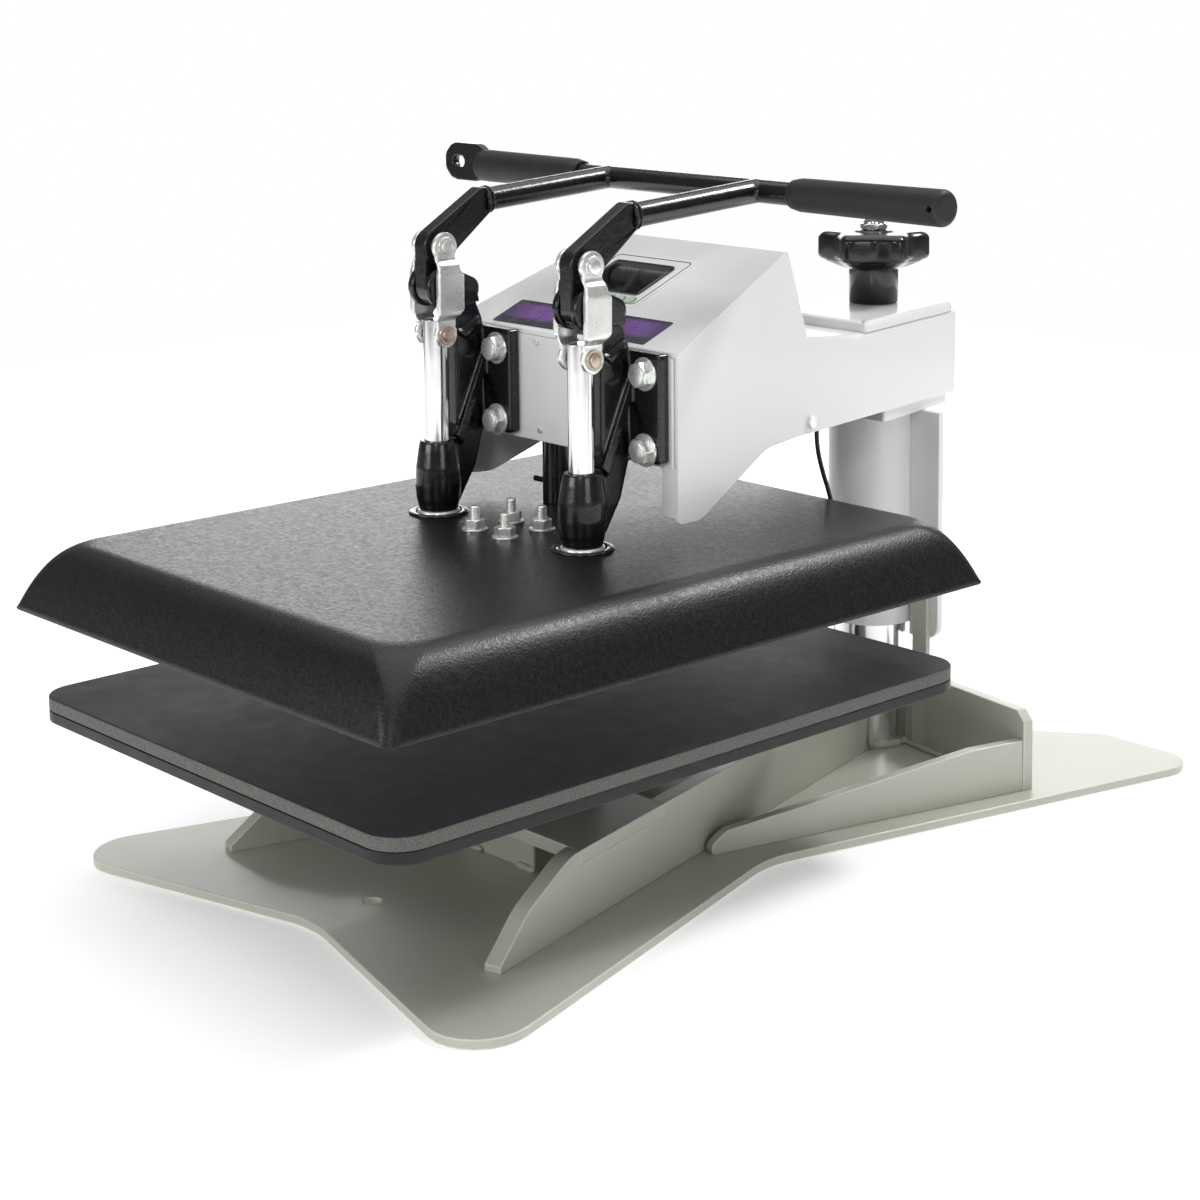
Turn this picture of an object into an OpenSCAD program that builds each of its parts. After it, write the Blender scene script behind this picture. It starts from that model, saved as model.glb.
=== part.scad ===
// Swing-away tabletop heat press with a 16 x 20 inch platen.
// Millimetres. +Z is up, +X is the operator's right and +Y points to the post at the back.
// The origin is under the base plate, below the middle of the platens.

/* [Platens] */
// Width of the heated platen, left to right
platen_w = 406.4; // [400:0.1:412]
// Length of the heated platen, front to back
platen_l = 508; // [500:0.1:514]
// Corner radius of both platens
platen_r = 25; // [15:1:35]
// Thickness of the heated aluminium platen
heater_t = 16; // [14:0.5:18]
// Thickness of the lower aluminium table
table_t = 7.9; // [6:0.1:9]
// Thickness of the silicone pad on the lower table
pad_t = 9.4; // [8:0.1:11]
// Height of the lower table's underside
table_z = 118.35; // [116:0.05:120]
// Opening between the pad and the heated face
opening = 57.75; // [57.65:0.05:58]

/* [Cover] */
// Height of the cover's moulded sides
cover_h = 46.2; // [44:0.1:48]
// Distance from the lower edge in to the flat top
cover_shoulder = 37.2; // [34:0.1:40]
// Wall of the cover
cover_wall = 2; // [1.5:0.1:2.5]
// Gap between the heated platen and the cover's lower edge
cover_gap = 11; // [10:0.5:12]

/* [Base] */
// Thickness of the base plate
plate_t = 6.35; // [5:0.05:7]
// Height of the ribs' top edge above the bench
rib_top = 57.5; // [56:0.5:59]
// Thickness of the two ribs
rib_t = 12.7; // [10:0.1:13]
// Thickness of the plate across the ribs
cross_t = 9.5; // [8:0.1:10]
// Height of the wing plates' top edge above the bench
wing_top = 68; // [66:0.5:70]
// Radius of the bolt-down holes
bench_hole_r = 6.25; // [5:0.05:7]
// Place of the front bolt-down hole
front_hole_y = -121; // [-125:1:-115]
// Place of the rear bolt-down hole
rear_hole_y = 436; // [434:1:440]

/* [Post] */
// Distance of the post's axis behind the platens' middle
post_y = 380; // [379:0.5:381]
// Radius of the post
post_r = 31.75; // [31.5:0.05:32]
// Height of the post's top
post_top = 335; // [333:0.5:336]
// Radial running clearance of shafts in their bores
run = 0.05; // [0.02:0.01:0.09]
// Outer radius of the sleeve that turns on the post
sleeve_r = 35.5; // [35:0.1:36]

/* [Arm] */
// Sheet thickness of the arm
sheet = 3; // [2.5:0.1:3.2]
// Half width of the arm at its front edge
head_half_w = 120; // [118:0.5:122]
// Half width of the arm at its rear edge
tail_half_w = 40; // [39:0.5:41]
// Place of the arm's front edge
head_y = 51.5; // [51.5:0.5:52]
// Place of the arm's rear edge
tail_y = 434; // [433:0.5:435]
// Height of the arm's flat top
arm_top = 355; // [354.5:0.5:355.5]

/* [Clamps] */
// Distance of each clamp from the middle
clamp_x = 78.3; // [77:0.1:80]
// Place of the plungers' axes, front to back
clamp_y = 2; // [1.5:0.1:2.5]
// Height of the crank's fixed pivot
pivot_z = 405.2; // [405:0.1:405.6]
// Length of the crank, which is half the stroke
crank = 28.8; // [28.7:0.05:28.9]
// Length of the links, hole to hole
link_l = 62.5; // [62:0.1:63]
// Radius of the plunger rods
rod_r = 9; // [8.8:0.1:9]
// Radius of the linkage pins
pin_r = 5; // [4.5:0.1:5.2]

/* [Handle] */
// Place of the cross bar's axis, front to back
bar_y = 168.5; // [167:0.5:170]
// Height of the cross bar's axis
bar_z = 471.8; // [470:0.1:473]
// Radius of the cross bar
bar_r = 8.5; // [8:0.1:8.7]

/* [Knob] */
// Radius of the knob's grip
knob_r = 44; // [42:0.5:46]
// Number of lobes round the knob
knob_lobes = 6; // [5:1:7]

/* [Hidden] */
$fn = 64;
eps = 0.01;

// Colours
paint_grey = [0.62, 0.64, 0.60];
arm_white = [0.94, 0.94, 0.95];
gloss_black = [0.06, 0.06, 0.07];
soft_black = [0.15, 0.15, 0.16];
zinc = [0.78, 0.80, 0.82];

// Heights that follow from the stack
pad_z = table_z + table_t;
face_z = pad_z + pad_t + opening;
heater_top = face_z + heater_t;
cover_z = face_z + 1.6;
cover_top = cover_z + cover_h;
board_top = heater_top + 19.6;
stroke = 2 * crank;
crank_z = pivot_z + crank;
link_z = crank_z - link_l;

// Ribs: each starts out at the front and runs in to the post
rib_front = [154.7, -136.3];
rib_slope = -0.2685;
rib_angle = 90 - atan(rib_slope);
rib_len = 507;
cross_front = -49;
cross_back = 51;
function rib_x(y) = rib_front.x + (y - rib_front.y) * rib_slope;

// Tray walls: from beside the ribs out to the wing plates
tray_front = [101.7, 100.1];
tray_angle = 75.2;
tray_t = 8.3;
tray_len = 276;
wing_inner = [31.7, 385];
wing_angle = -9.45;
wing_len = 142;
wing_t = 9.5;

// Arm: two tapered sides, a sloping panel and a low flat tail
taper = atan((head_half_w - tail_half_w) / (tail_y - head_y));
slope_low = [head_y, 373];
slope_high = [186.7, 428.9];
slope_angle = atan((slope_high.y - slope_low.y) / (slope_high.x - slope_low.x));
ledge = [213.2, 362.5];
tail_step_y = 285;
cap_front_y = 294;
cap_t = 8;
front_plate_z = 294;
front_plate_t = 5;
flange_y = head_y - 1.5;
hub_z = 280.5;
hub_t = 11.5;

// Clamps
flange_t = 9;
flange_half_w = 35;
flange_z = [297.7, 373];
bolt_dx = 21;
bolt_z = [306.5, 358.5];
web_t = 10;
cheek_in = 6.5;
cheek_t = 5.5;
cheek_r = 15;
lever_half = 6;
eye_in = 9.5;
eye_t = 4.5;
side_gap = 1;

// Knob and screw
screw_r = 8;
neck_r = 19.5;
knob_z = arm_top + cap_t + 0.4;
knob_head_z = 394;
knob_head_h = 27;
knob_valley = 9;
knob_phase = 42;

// Films and plates lie this far above the sheet they are stuck to
film_gap = 0.02;

// Vectors and rounded outlines
function xy(p) = [p.x, p.y];
function radius(p) = is_undef(p[2]) ? 0 : p[2];
function unit(v) = v / norm(v);
function left_of(d) = [-d.y, d.x];

// One corner of an outline as an arc of radius r, or as a point where r is 0
function corner_arc(before, p, after, r, steps = 8) =
    r <= 0 ? [p] :
    let(
        u = unit(before - p),
        w = unit(after - p),
        half = acos(u * w) / 2,
        centre = p + unit(u + w) * r / sin(half),
        start = p + u * r / tan(half) - centre,
        end = p + w * r / tan(half) - centre,
        sweep = 180 - 2 * half
    )
    [for (i = [0 : steps])
        let(share = i / steps)
        centre + (start * sin((1 - share) * sweep) + end * sin(share * sweep)) / sin(sweep)];

// An outline given as [x, y, corner radius], with its corners rounded
function rounded(pts) =
    let(n = len(pts))
    [for (i = [0 : n - 1])
        each corner_arc(xy(pts[(i + n - 1) % n]), xy(pts[i]), xy(pts[(i + 1) % n]), radius(pts[i]))];

// A counter-clockwise outline moved inwards by t
function inset(pts, t) =
    let(n = len(pts))
    [for (i = [0 : n - 1])
        let(
            u = unit(xy(pts[i]) - xy(pts[(i + n - 1) % n])),
            w = unit(xy(pts[(i + 1) % n]) - xy(pts[i])),
            p = xy(pts[i]) + (left_of(u) + left_of(w)) * t / (1 + u * w)
        )
        [p.x, p.y, max(0, radius(pts[i]) - sign(cross(u, w)) * t)]];

// A right-hand half outline completed by its mirror image
function mirrored(pts) =
    concat(pts, [for (i = [len(pts) - 1 : -1 : 0]) [-pts[i].x, pts[i].y, radius(pts[i])]]);

// A rounded rectangle about the origin
function rectangle(w, l, r) =
    [[-w / 2, -l / 2, r], [w / 2, -l / 2, r], [w / 2, l / 2, r], [-w / 2, l / 2, r]];

module slab(w, l, r, t) {
    linear_extrude(t)
        polygon(rounded(rectangle(w, l, r)));
}

// A plate in the YZ plane: its outline's x runs along Y and its y along Z
module yz_plate(x, t) {
    translate([x, 0, 0])
        rotate([90, 0, 90])
            linear_extrude(t)
                children();
}

// A plate in the XZ plane that fills from y to y + t
module xz_plate(y, t) {
    translate([0, y + t, 0])
        rotate([90, 0, 0])
            linear_extrude(t)
                children();
}

// An upright plate along a bench direction, with its outer face on the line from start
module upright_plate(start, angle, t) {
    translate([start.x, start.y, 0])
        rotate([90, 0, angle])
            translate([0, 0, -t])
                linear_extrude(t)
                    children();
}

// A cylinder along X from x0 to x1
module x_rod(x0, x1, y, z, r) {
    translate([x0, y, z])
        rotate([0, 90, 0])
            cylinder(h = x1 - x0, r = r);
}

// A cylinder along Y from y0 to y1
module y_rod(x, y0, y1, z, r) {
    translate([x, y1, z])
        rotate([90, 0, 0])
            cylinder(h = y1 - y0, r = r);
}

// A bar with round ends of radius rp at p and rq at q
module bar_2d(p, rp, q, rq) {
    d = q - p;
    lean = acos((rp - rq) / norm(d));
    heading = atan2(d.y, d.x);
    up = [cos(heading + lean), sin(heading + lean)];
    down = [cos(heading - lean), sin(heading - lean)];
    translate(p)
        circle(rp);
    translate(q)
        circle(rq);
    polygon([p + rp * down, q + rq * down, q + rq * up, p + rp * up]);
}

module both_sides() {
    children();
    mirror([1, 0, 0])
        children();
}

module hex(across, t) {
    cylinder(h = t, r = across / sqrt(3), $fn = 6);
}

// Base

function base_outline() = mirrored([
    [12, -172, 60], [241, -230, 34], [132.2, 125, 80], [228, 518, 26], [131, 518, 20], [57, 462, 30]
]);

module base_plate() {
    color(paint_grey)
        difference() {
            linear_extrude(plate_t)
                polygon(rounded(base_outline()));
            for (y = [front_hole_y, rear_hole_y])
                translate([0, y, -1])
                    cylinder(h = plate_t + 2, r = bench_hole_r);
        }
}

// The plate's block; past makes it reach beyond the ribs' faces, to cut its seat in them
module cross_block(past = 0) {
    ends = [for (y = [cross_front, cross_back]) [rib_x(y) + past, y]];
    translate([0, 0, rib_top - cross_t])
        linear_extrude(cross_t + past)
            polygon(rounded(mirrored(ends)));
}

module side_ribs() {
    profile = [
        [0, plate_t], [rib_len, plate_t], [rib_len, rib_top], [80, rib_top, 50], [32, 37, 55], [0, 11, 2]
    ];
    color(paint_grey)
        difference() {
            both_sides()
                upright_plate(rib_front, rib_angle, rib_t)
                    polygon(rounded(profile));
            cross_block(past = 1);
        }
}

module cross_plate() {
    color(paint_grey)
        cross_block();
}

module pedestal() {
    front = -10;
    depth = 52;
    wall = 5;
    color(paint_grey)
        translate([0, front + depth / 2, plate_t])
            linear_extrude(rib_top - cross_t - plate_t)
                difference() {
                    square([80, depth], center = true);
                    square([80 - 2 * wall, depth - 2 * wall], center = true);
                }
}

module wing_pair() {
    chamfer = 8;
    profile = [
        [0, plate_t], [wing_len, plate_t], [wing_len, wing_top - chamfer, 2],
        [wing_len - chamfer, wing_top, 2], [0, wing_top]
    ];
    both_sides()
        translate([wing_inner.x, wing_inner.y, 0])
            rotate([90, 0, wing_angle])
                translate([0, 0, -wing_t])
                    linear_extrude(wing_t)
                        polygon(rounded(profile));
}

module stop_bar_block() {
    translate([42.5, 381, plate_t])
        cube([15, 4.8, 150 - plate_t]);
}

module wing_plates() {
    color(paint_grey)
        difference() {
            wing_pair();
            stop_bar_block();
        }
}

module tray_walls() {
    profile = [
        [0, plate_t, 3], [tray_len, plate_t], [tray_len, 46], [225, 46, 60], [12, 22.5, 14], [0, 14, 6]
    ];
    color(paint_grey)
        difference() {
            both_sides()
                upright_plate(tray_front, tray_angle, tray_t)
                    polygon(rounded(profile));
            both_sides()
                translate([wing_inner.x, wing_inner.y, 0])
                    rotate([0, 0, wing_angle])
                        cube([200, 60, 80]);
        }
}

module stop_bar() {
    color(paint_grey)
        stop_bar_block();
}

module table_riser() {
    tube = 92;
    wall = 6;
    flange_w = 132;
    flange_l = 150;
    flange_thick = 8;
    color(soft_black)
        translate([0, 0, rib_top]) {
            linear_extrude(table_z - rib_top - flange_thick)
                difference() {
                    square(tube, center = true);
                    square(tube - 2 * wall, center = true);
                }
            translate([0, 0, table_z - rib_top - flange_thick])
                difference() {
                    slab(flange_w, flange_l, 8, flange_thick);
                    for (x = [-1, 1], y = [-1, 1])
                        translate([x * 56, y * 64, -1])
                            cylinder(h = flange_thick + 2, r = 4.2);
                }
        }
}

module table_bolts() {
    flange_thick = 8;
    color(zinc)
        for (x = [-1, 1], y = [-1, 1])
            translate([x * 56, y * 64, table_z - flange_thick]) {
                translate([0, 0, -5.3])
                    hex(13, 5.3);
                cylinder(h = flange_thick + 5, r = 4);
            }
}

module lower_table() {
    color("dimgray")
        difference() {
            translate([0, 0, table_z])
                slab(platen_w, platen_l, platen_r, table_t);
            for (x = [-1, 1], y = [-1, 1])
                translate([x * 56, y * 64, table_z - 1])
                    cylinder(h = 6, r = 4);
        }
}

module rubber_pad() {
    color([0.25, 0.25, 0.27])
        translate([0, 0, pad_z])
            slab(platen_w, platen_l, platen_r, pad_t);
}

module post() {
    color("silver")
        translate([0, post_y, plate_t])
            difference() {
                cylinder(h = post_top - plate_t, r = post_r);
                translate([0, 0, 20])
                    cylinder(h = 400, r = post_r - 7);
            }
}

module post_nut() {
    nut_h = 36;
    color("goldenrod")
        translate([0, post_y, post_top - nut_h])
            difference() {
                cylinder(h = nut_h, r = post_r - 7);
                translate([0, 0, -1])
                    cylinder(h = nut_h + 2, r = screw_r + run);
            }
}

// Arm

// The arm's top from its rear edge forwards, with the sloping panel carried on to y = front
function arm_top_line(front) = [
    [tail_y, arm_top], [tail_step_y, arm_top], [ledge.x, ledge.y, 4],
    [slope_high.x, slope_high.y, 3], [front, slope_low.y + (front - slope_low.x) * tan(slope_angle), 2]
];
function arm_side_line() = [
    [head_y, 256, 4], [78, 254.5, 30], [160, 290, 45], [200, 291.5, 60], [tail_y, 289]
];

// The space inside the arm's tapered plan, moved inwards by t
module arm_plan(t) {
    side = t / cos(taper);
    linear_extrude(600)
        polygon(rounded(mirrored([
            [head_half_w - side + 50 * tan(taper), head_y - 50],
            [tail_half_w - side, tail_y]
        ])));
}

module arm_block() {
    intersection() {
        yz_plate(-200, 400)
            polygon(rounded(concat(arm_side_line(), arm_top_line(head_y))));
        arm_plan(0);
    }
}

module arm_hollow() {
    front = head_y - 50;
    intersection() {
        yz_plate(-200, 400)
            polygon(rounded(inset(concat([[front, 200], [tail_y, 200]], arm_top_line(front)), sheet)));
        arm_plan(sheet);
    }
}

// The sides' front edges turn inwards below the front plate
module head_flanges() {
    flange_w = 13;
    low = 260;
    both_sides()
        translate([head_half_w - sheet - flange_w, head_y, low])
            cube([flange_w + 1.5, sheet, front_plate_z - low]);
}

module panel_place() {
    translate([0, slope_low.x, slope_low.y])
        rotate([slope_angle, 0, 0])
            translate([0, 0, film_gap])
                children();
}

// Openings through the sloping panel for the display and the buttons
display_low = [-42, 63.3];
display_size = [59, 38];
button_at = [[-3, 53.6], [8, 53.6], [19, 53.6]];
button_r = 4;

module panel_openings() {
    panel_place() {
        translate([display_low.x + 1, display_low.y + 1, -10])
            cube([display_size.x - 2, display_size.y - 2, 20]);
        for (p = button_at)
            translate([p.x, p.y, -10])
                cylinder(h = 20, r = button_r + 0.4);
    }
}

module arm_shell() {
    color(arm_white)
        difference() {
            union() {
                difference() {
                    arm_block();
                    arm_hollow();
                }
                intersection() {
                    head_flanges();
                    arm_block();
                }
            }
            translate([0, post_y, 0])
                cylinder(h = 500, r = sleeve_r);
            back_window();
            panel_openings();
        }
}

// The opening in the back of the head that its plate closes
module back_window() {
    xz_plate(slope_high.x, 40)
        polygon(rounded(mirrored([[66, 372], [66, 410]])));
}

module front_plate() {
    plate_half = head_half_w - sheet - 1;
    plate_top = slope_low.y - sheet - 0.4;
    color(arm_white)
        difference() {
            xz_plate(flange_y, front_plate_t)
                translate([-plate_half, front_plate_z])
                    square([2 * plate_half, plate_top - front_plate_z]);
            flange_bolt_holes();
        }
}

module flange_bolt_holes() {
    for (side = [-1, 1], dx = [-bolt_dx, bolt_dx], z = bolt_z)
        y_rod(side * clamp_x + dx, 30, 60, z, 5.1);
}

module sleeve() {
    low = 107.5;
    color(arm_white)
        translate([0, post_y, low])
            difference() {
                cylinder(h = arm_top - low, r = sleeve_r);
                translate([0, 0, -1])
                    cylinder(h = 400, r = sleeve_r - 2.2);
            }
}

module post_bushes() {
    bush_h = 36;
    color("darkkhaki")
        for (z = [107.5, 292])
            translate([0, post_y, z])
                difference() {
                    cylinder(h = bush_h, r = sleeve_r - 2.2);
                    translate([0, 0, -1])
                        cylinder(h = bush_h + 2, r = post_r + run);
                }
}

module rear_cap() {
    front_half = head_half_w - (cap_front_y - head_y) * tan(taper);
    color(arm_white)
        difference() {
            translate([0, 0, arm_top])
                linear_extrude(cap_t)
                    polygon(rounded(mirrored([[front_half, cap_front_y, 2], [tail_half_w, tail_y, 14]])));
            translate([0, post_y, arm_top - 1])
                cylinder(h = cap_t + 2, r = screw_r + run);
        }
}

module hub_plate() {
    front = 327;
    back = 428;
    inset_x = sheet / cos(taper) + 0.1;
    front_half = head_half_w - (front - head_y) * tan(taper) - inset_x;
    back_half = head_half_w - (back - head_y) * tan(taper) - inset_x;
    color(arm_white)
        difference() {
            translate([0, 0, hub_z])
                linear_extrude(hub_t)
                    polygon(rounded(mirrored([[front_half, front, 2], [back_half, back, 8]])));
            translate([0, post_y, 0])
                cylinder(h = 500, r = sleeve_r);
        }
}

module stop_tab() {
    color(arm_white)
        difference() {
            xz_plate(386, 6)
                polygon(rounded([[30, 97], [64.5, 97, 12], [64.5, hub_z], [30, hub_z]]));
            translate([0, post_y, 0])
                cylinder(h = 500, r = sleeve_r);
        }
}

module control_overlay() {
    outline = [[-56, 46, 5], [30, 46, 5], [30, 116.5, 5], [-56, 116.5, 5]];
    color([0.90, 0.90, 0.91])
        difference() {
            panel_place()
                linear_extrude(0.6)
                    polygon(rounded(outline));
            panel_openings();
        }
}

module display_window() {
    color([0.05, 0.06, 0.07])
        panel_place()
            translate([display_low.x + display_size.x / 2, display_low.y + display_size.y / 2, 0.6])
                slab(display_size.x, display_size.y, 2, 1.6);
}

module colour_strip() {
    color([0.30, 0.16, 0.50])
        panel_place()
            translate([1, 20, 0])
                slab(162, 31, 1.5, 0.5);
}

module panel_screws() {
    color(zinc) {
        side_y = 218;
        side_x = head_half_w - (side_y - head_y) * tan(taper);
        for (side = [-1, 1])
            translate([side * (side_x + film_gap), side_y, 299.8])
                rotate([0, side * 90, side * taper])
                    cylinder(h = 2.6, r = 5);
        for (x = [-24, 24])
            y_rod(x, flange_y - 1.6, flange_y - film_gap, 365.5, 2.6);
        y_rod(-21, flange_y - 1.2, flange_y - film_gap, 302, 2.2);
    }
}

// The back of the head leans back from its foot to the peak
back_lean = atan((ledge.x - slope_high.x) / (slope_high.y - ledge.y));
module back_place() {
    translate([0, ledge.x, ledge.y])
        rotate([back_lean, 0, 0])
            rotate([90, 0, 180])
                translate([0, 0, film_gap])
                    children();
}
rocker_at = [38, 34];
inlet_at = [-34, 34];

module head_back_plate() {
    color(soft_black)
        difference() {
            back_place()
                translate([0, 34, 0])
                    slab(140, 50, 4, 1.5);
            back_place() {
                translate([rocker_at.x, rocker_at.y, -20])
                    linear_extrude(40)
                        square([21, 27], center = true);
                translate([inlet_at.x, inlet_at.y, -20])
                    linear_extrude(40)
                        square([27.4, 20.4], center = true);
            }
        }
}

module mains_inlet() {
    color(gloss_black)
        back_place()
            translate([inlet_at.x, inlet_at.y, 0])
                difference() {
                    union() {
                        translate([0, 0, 1.5])
                            slab(46, 26, 3, 2.5);
                        translate([0, 0, -14])
                            slab(27, 20, 2, 15.5);
                    }
                    translate([0, 0, -10])
                        slab(24, 16, 3, 20);
                }
}

module switch_frame() {
    color(gloss_black)
        back_place()
            translate([rocker_at.x, rocker_at.y, -12])
                difference() {
                    union() {
                        translate([0, 0, 13.5])
                            slab(25, 31, 2, 2);
                        slab(20.6, 26.6, 1, 13.5);
                    }
                    translate([0, 0, 3])
                        slab(17.6, 23.6, 1, 20);
                }
}

module power_rocker() {
    // Two faces meet at the rocker's middle line, above its pivot
    profile = [[-10.6, -5], [0, -8], [10.6, -5], [10.6, -1], [0, 0.2], [-10.6, 2.6]];
    color([0.55, 0.05, 0.05])
        back_place()
            translate([rocker_at.x, rocker_at.y, 2]) {
                yz_plate(-8.4, 16.8)
                    polygon(profile);
                for (x = [-8.7, 8])
                    x_rod(x, x + 0.7, 0, 0, 1.2);
            }
}

module button(i) {
    color([0.62, 0.70, 0.62])
        panel_place()
            translate([button_at[i].x, button_at[i].y, -2.4])
                cylinder(h = 4.4, r = button_r);
}

module button_down() {
    button(0);
}

module button_up() {
    button(1);
}

module button_set() {
    button(2);
}

module controller_board() {
    color("seagreen")
        panel_place()
            translate([-12, 74, -22])
                slab(110, 78, 2, 1.6);
}

// Clamps

module barrel() {
    translate([clamp_x, clamp_y, 0])
        rotate_extrude()
            polygon([
                [rod_r + run, 243], [13.5, 243], [15.6, 252], [16.5, 262], [15.8, 275], [13.8, 288],
                [12.5, 294], [rod_r + run, 294]
            ]);
}

module clamp_web() {
    outline = [
        [10, 243], [15, 243, 4], [33, 272, 12], [39, 292, 10], [41, 299], [41, 378, 6],
        [27, 411, 9], [18, 411, 3], [16.2, 390], [16.2, 296, 4], [10, 292]
    ];
    difference() {
        yz_plate(clamp_x - web_t / 2, web_t)
            polygon(rounded(outline));
        translate([clamp_x, clamp_y, 200])
            cylinder(h = 100, r = 12);
    }
}

module clamp_flange() {
    difference() {
        translate([clamp_x, 0, 0])
            xz_plate(flange_y - flange_t, flange_t)
                polygon(rounded([
                    [-flange_half_w, flange_z[0], 3], [flange_half_w, flange_z[0], 3],
                    [flange_half_w, flange_z[1], 3], [-flange_half_w, flange_z[1], 3]
                ]));
        flange_bolt_holes();
    }
}

// Two cheeks that hold the crank's pivot pin, tied to the web behind it
module cheeks() {
    difference() {
        union() {
            for (x = [cheek_in, -cheek_in - cheek_t])
                yz_plate(clamp_x + x, cheek_t)
                    bar_2d([clamp_y, pivot_z], cheek_r, [24, 402], 9);
            yz_plate(clamp_x - cheek_in - cheek_t, 2 * (cheek_in + cheek_t))
                polygon([[18.5, 392], [33, 392], [31, 404], [25, 410], [18.5, 410]]);
        }
        x_rod(clamp_x - 20, clamp_x + 20, clamp_y, pivot_z, pin_r + run);
    }
}

module clamp_body() {
    color(gloss_black) {
        barrel();
        clamp_web();
        clamp_flange();
        cheeks();
    }
}

module clamp_right() {
    clamp_body();
}

module clamp_left() {
    mirror([1, 0, 0])
        clamp_body();
}

module clamp_bolts() {
    washer_y = flange_y - flange_t;
    plate_back = flange_y + front_plate_t;
    nut_h = 7;
    color(zinc)
        for (side = [-1, 1], dx = [-bolt_dx, bolt_dx], z = bolt_z) {
            x = side * clamp_x + dx;
            y_rod(x, washer_y - 2, washer_y, z, 13.5);
            translate([x, washer_y - 2, z])
                rotate([90, 0, 0])
                    hex(17, 6.5);
            y_rod(x, washer_y, plate_back + nut_h + 3, z, 5);
            translate([x, plate_back + nut_h, z])
                rotate([90, 0, 0])
                    hex(17, nut_h);
        }
}

module pivot_pins() {
    color(zinc)
        both_sides()
            x_rod(clamp_x - cheek_in - cheek_t, clamp_x + cheek_in + cheek_t, clamp_y, pivot_z, pin_r);
}

// Handle

lever_bend = [44, 463];

module lever() {
    color(gloss_black)
        difference() {
            yz_plate(clamp_x - lever_half, 2 * lever_half) {
                bar_2d([clamp_y, pivot_z], 13, [clamp_y, crank_z], 13);
                bar_2d([clamp_y, crank_z], 13, lever_bend, 10);
            }
            x_rod(clamp_x - 20, clamp_x + 20, clamp_y, pivot_z, pin_r + run);
            x_rod(clamp_x - 20, clamp_x + 20, clamp_y, crank_z, pin_r + run);
            lever_tube();
        }
}

// The tube from the lever's bend to the cross bar
module lever_tube() {
    run_y = bar_y - lever_bend.x;
    rise = bar_z - lever_bend.y;
    translate([clamp_x, lever_bend.x + 2, lever_bend.y + 0.2])
        rotate([-90 + atan(rise / run_y), 0, 0])
            cylinder(h = norm([run_y, rise]) + 1.5, r = 8.7);
}

module lever_right() {
    lever();
}

module lever_left() {
    mirror([1, 0, 0])
        lever();
}

grip_left_x = [-227.4, -107.4];
grip_right_x = [116, 255.2];
eye_end = -272.6;

module handle_bar() {
    eye_z = bar_z + 1.8;
    color(gloss_black)
        difference() {
            union() {
                x_rod(grip_left_x[0], grip_right_x[1] - 4, bar_y, bar_z, bar_r);
                both_sides()
                    lever_tube();
                xz_plate(bar_y - 3.5, 7)
                    bar_2d([grip_left_x[0] - 7, eye_z], 15, [eye_end + 15, eye_z], 15);
            }
            xz_plate(bar_y - 10, 20)
                bar_2d([-258, eye_z], 4.3, [-252.5, eye_z], 4.3);
        }
}

module grip_right() {
    color(soft_black)
        difference() {
            translate([grip_right_x[0], bar_y, bar_z])
                rotate([0, 90, 0])
                    rotate_extrude()
                        polygon(rounded([
                            [bar_r + run, 0], [10.4, 0], [11.85, 8], [12.7, 139.2, 5], [0, 139.2], [0, 135.6],
                            [bar_r + run, 135.6]
                        ]));
            y_rod(249, bar_y - 20, bar_y + 20, bar_z, 2.2);
        }
}

module grip_left() {
    color(soft_black)
        difference() {
            translate([grip_left_x[1], bar_y, bar_z])
                rotate([0, -90, 0])
                    rotate_extrude()
                        polygon(rounded([
                            [bar_r + run, 0], [10.4, 0], [11.85, 8], [12.7, 120, 3], [bar_r + run, 120]
                        ]));
            xz_plate(bar_y - 3.5 - run, 7 + 2 * run)
                translate([-300, bar_z - 20])
                    square([80.6, 40]);
        }
}

module crank_pins() {
    color(zinc)
        both_sides() {
            x_rod(clamp_x - eye_in - eye_t - 1, clamp_x + eye_in + eye_t + 1, clamp_y, crank_z, pin_r);
            for (x = [-eye_in - eye_t - 2.7, eye_in + eye_t + 0.1])
                x_rod(clamp_x + x, clamp_x + x + 2.6, clamp_y, crank_z, pin_r + 2.4);
        }
}

// Links: straight at their eyes and stepped out where they pass the fixed pivot

module link_plate() {
    step_in = cheek_in + cheek_t + 0.6;
    step_out = 18;
    step_low = link_z + 7.5;
    step_high = crank_z - 8;
    cheek_space = cheek_r + 1.2;
    difference() {
        union() {
            yz_plate(clamp_x + eye_in, eye_t) {
                translate([clamp_y, crank_z])
                    circle(12.5);
                bar_2d([clamp_y, link_z + 12], 9.5, [clamp_y, link_z], 9.5);
            }
            yz_plate(clamp_x + step_in, step_out - step_in)
                polygon(rounded([
                    [clamp_y - 9.5, step_low, 3], [clamp_y + 9, step_low, 3], [clamp_y + 14, 390, 6],
                    [clamp_y + 14, 408, 6], [clamp_y + 10, step_high, 3], [clamp_y - 10.5, step_high, 3]
                ]));
        }
        x_rod(clamp_x, clamp_x + step_in, clamp_y, pivot_z, cheek_space);
        for (z = [crank_z, link_z])
            x_rod(clamp_x, clamp_x + 30, clamp_y, z, pin_r + run);
    }
}

module link_pair() {
    color(zinc) {
        link_plate();
        translate([2 * clamp_x, 0, 0])
            mirror([1, 0, 0])
                link_plate();
    }
}

module links_right() {
    link_pair();
}

module links_left() {
    mirror([1, 0, 0])
        link_pair();
}

module link_rivets() {
    color(zinc)
        both_sides()
            for (x = [-eye_in - eye_t - 2.4, eye_in])
                x_rod(clamp_x + x, clamp_x + x + eye_t + 2.4, clamp_y, link_z, pin_r);
}

// Platen

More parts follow.
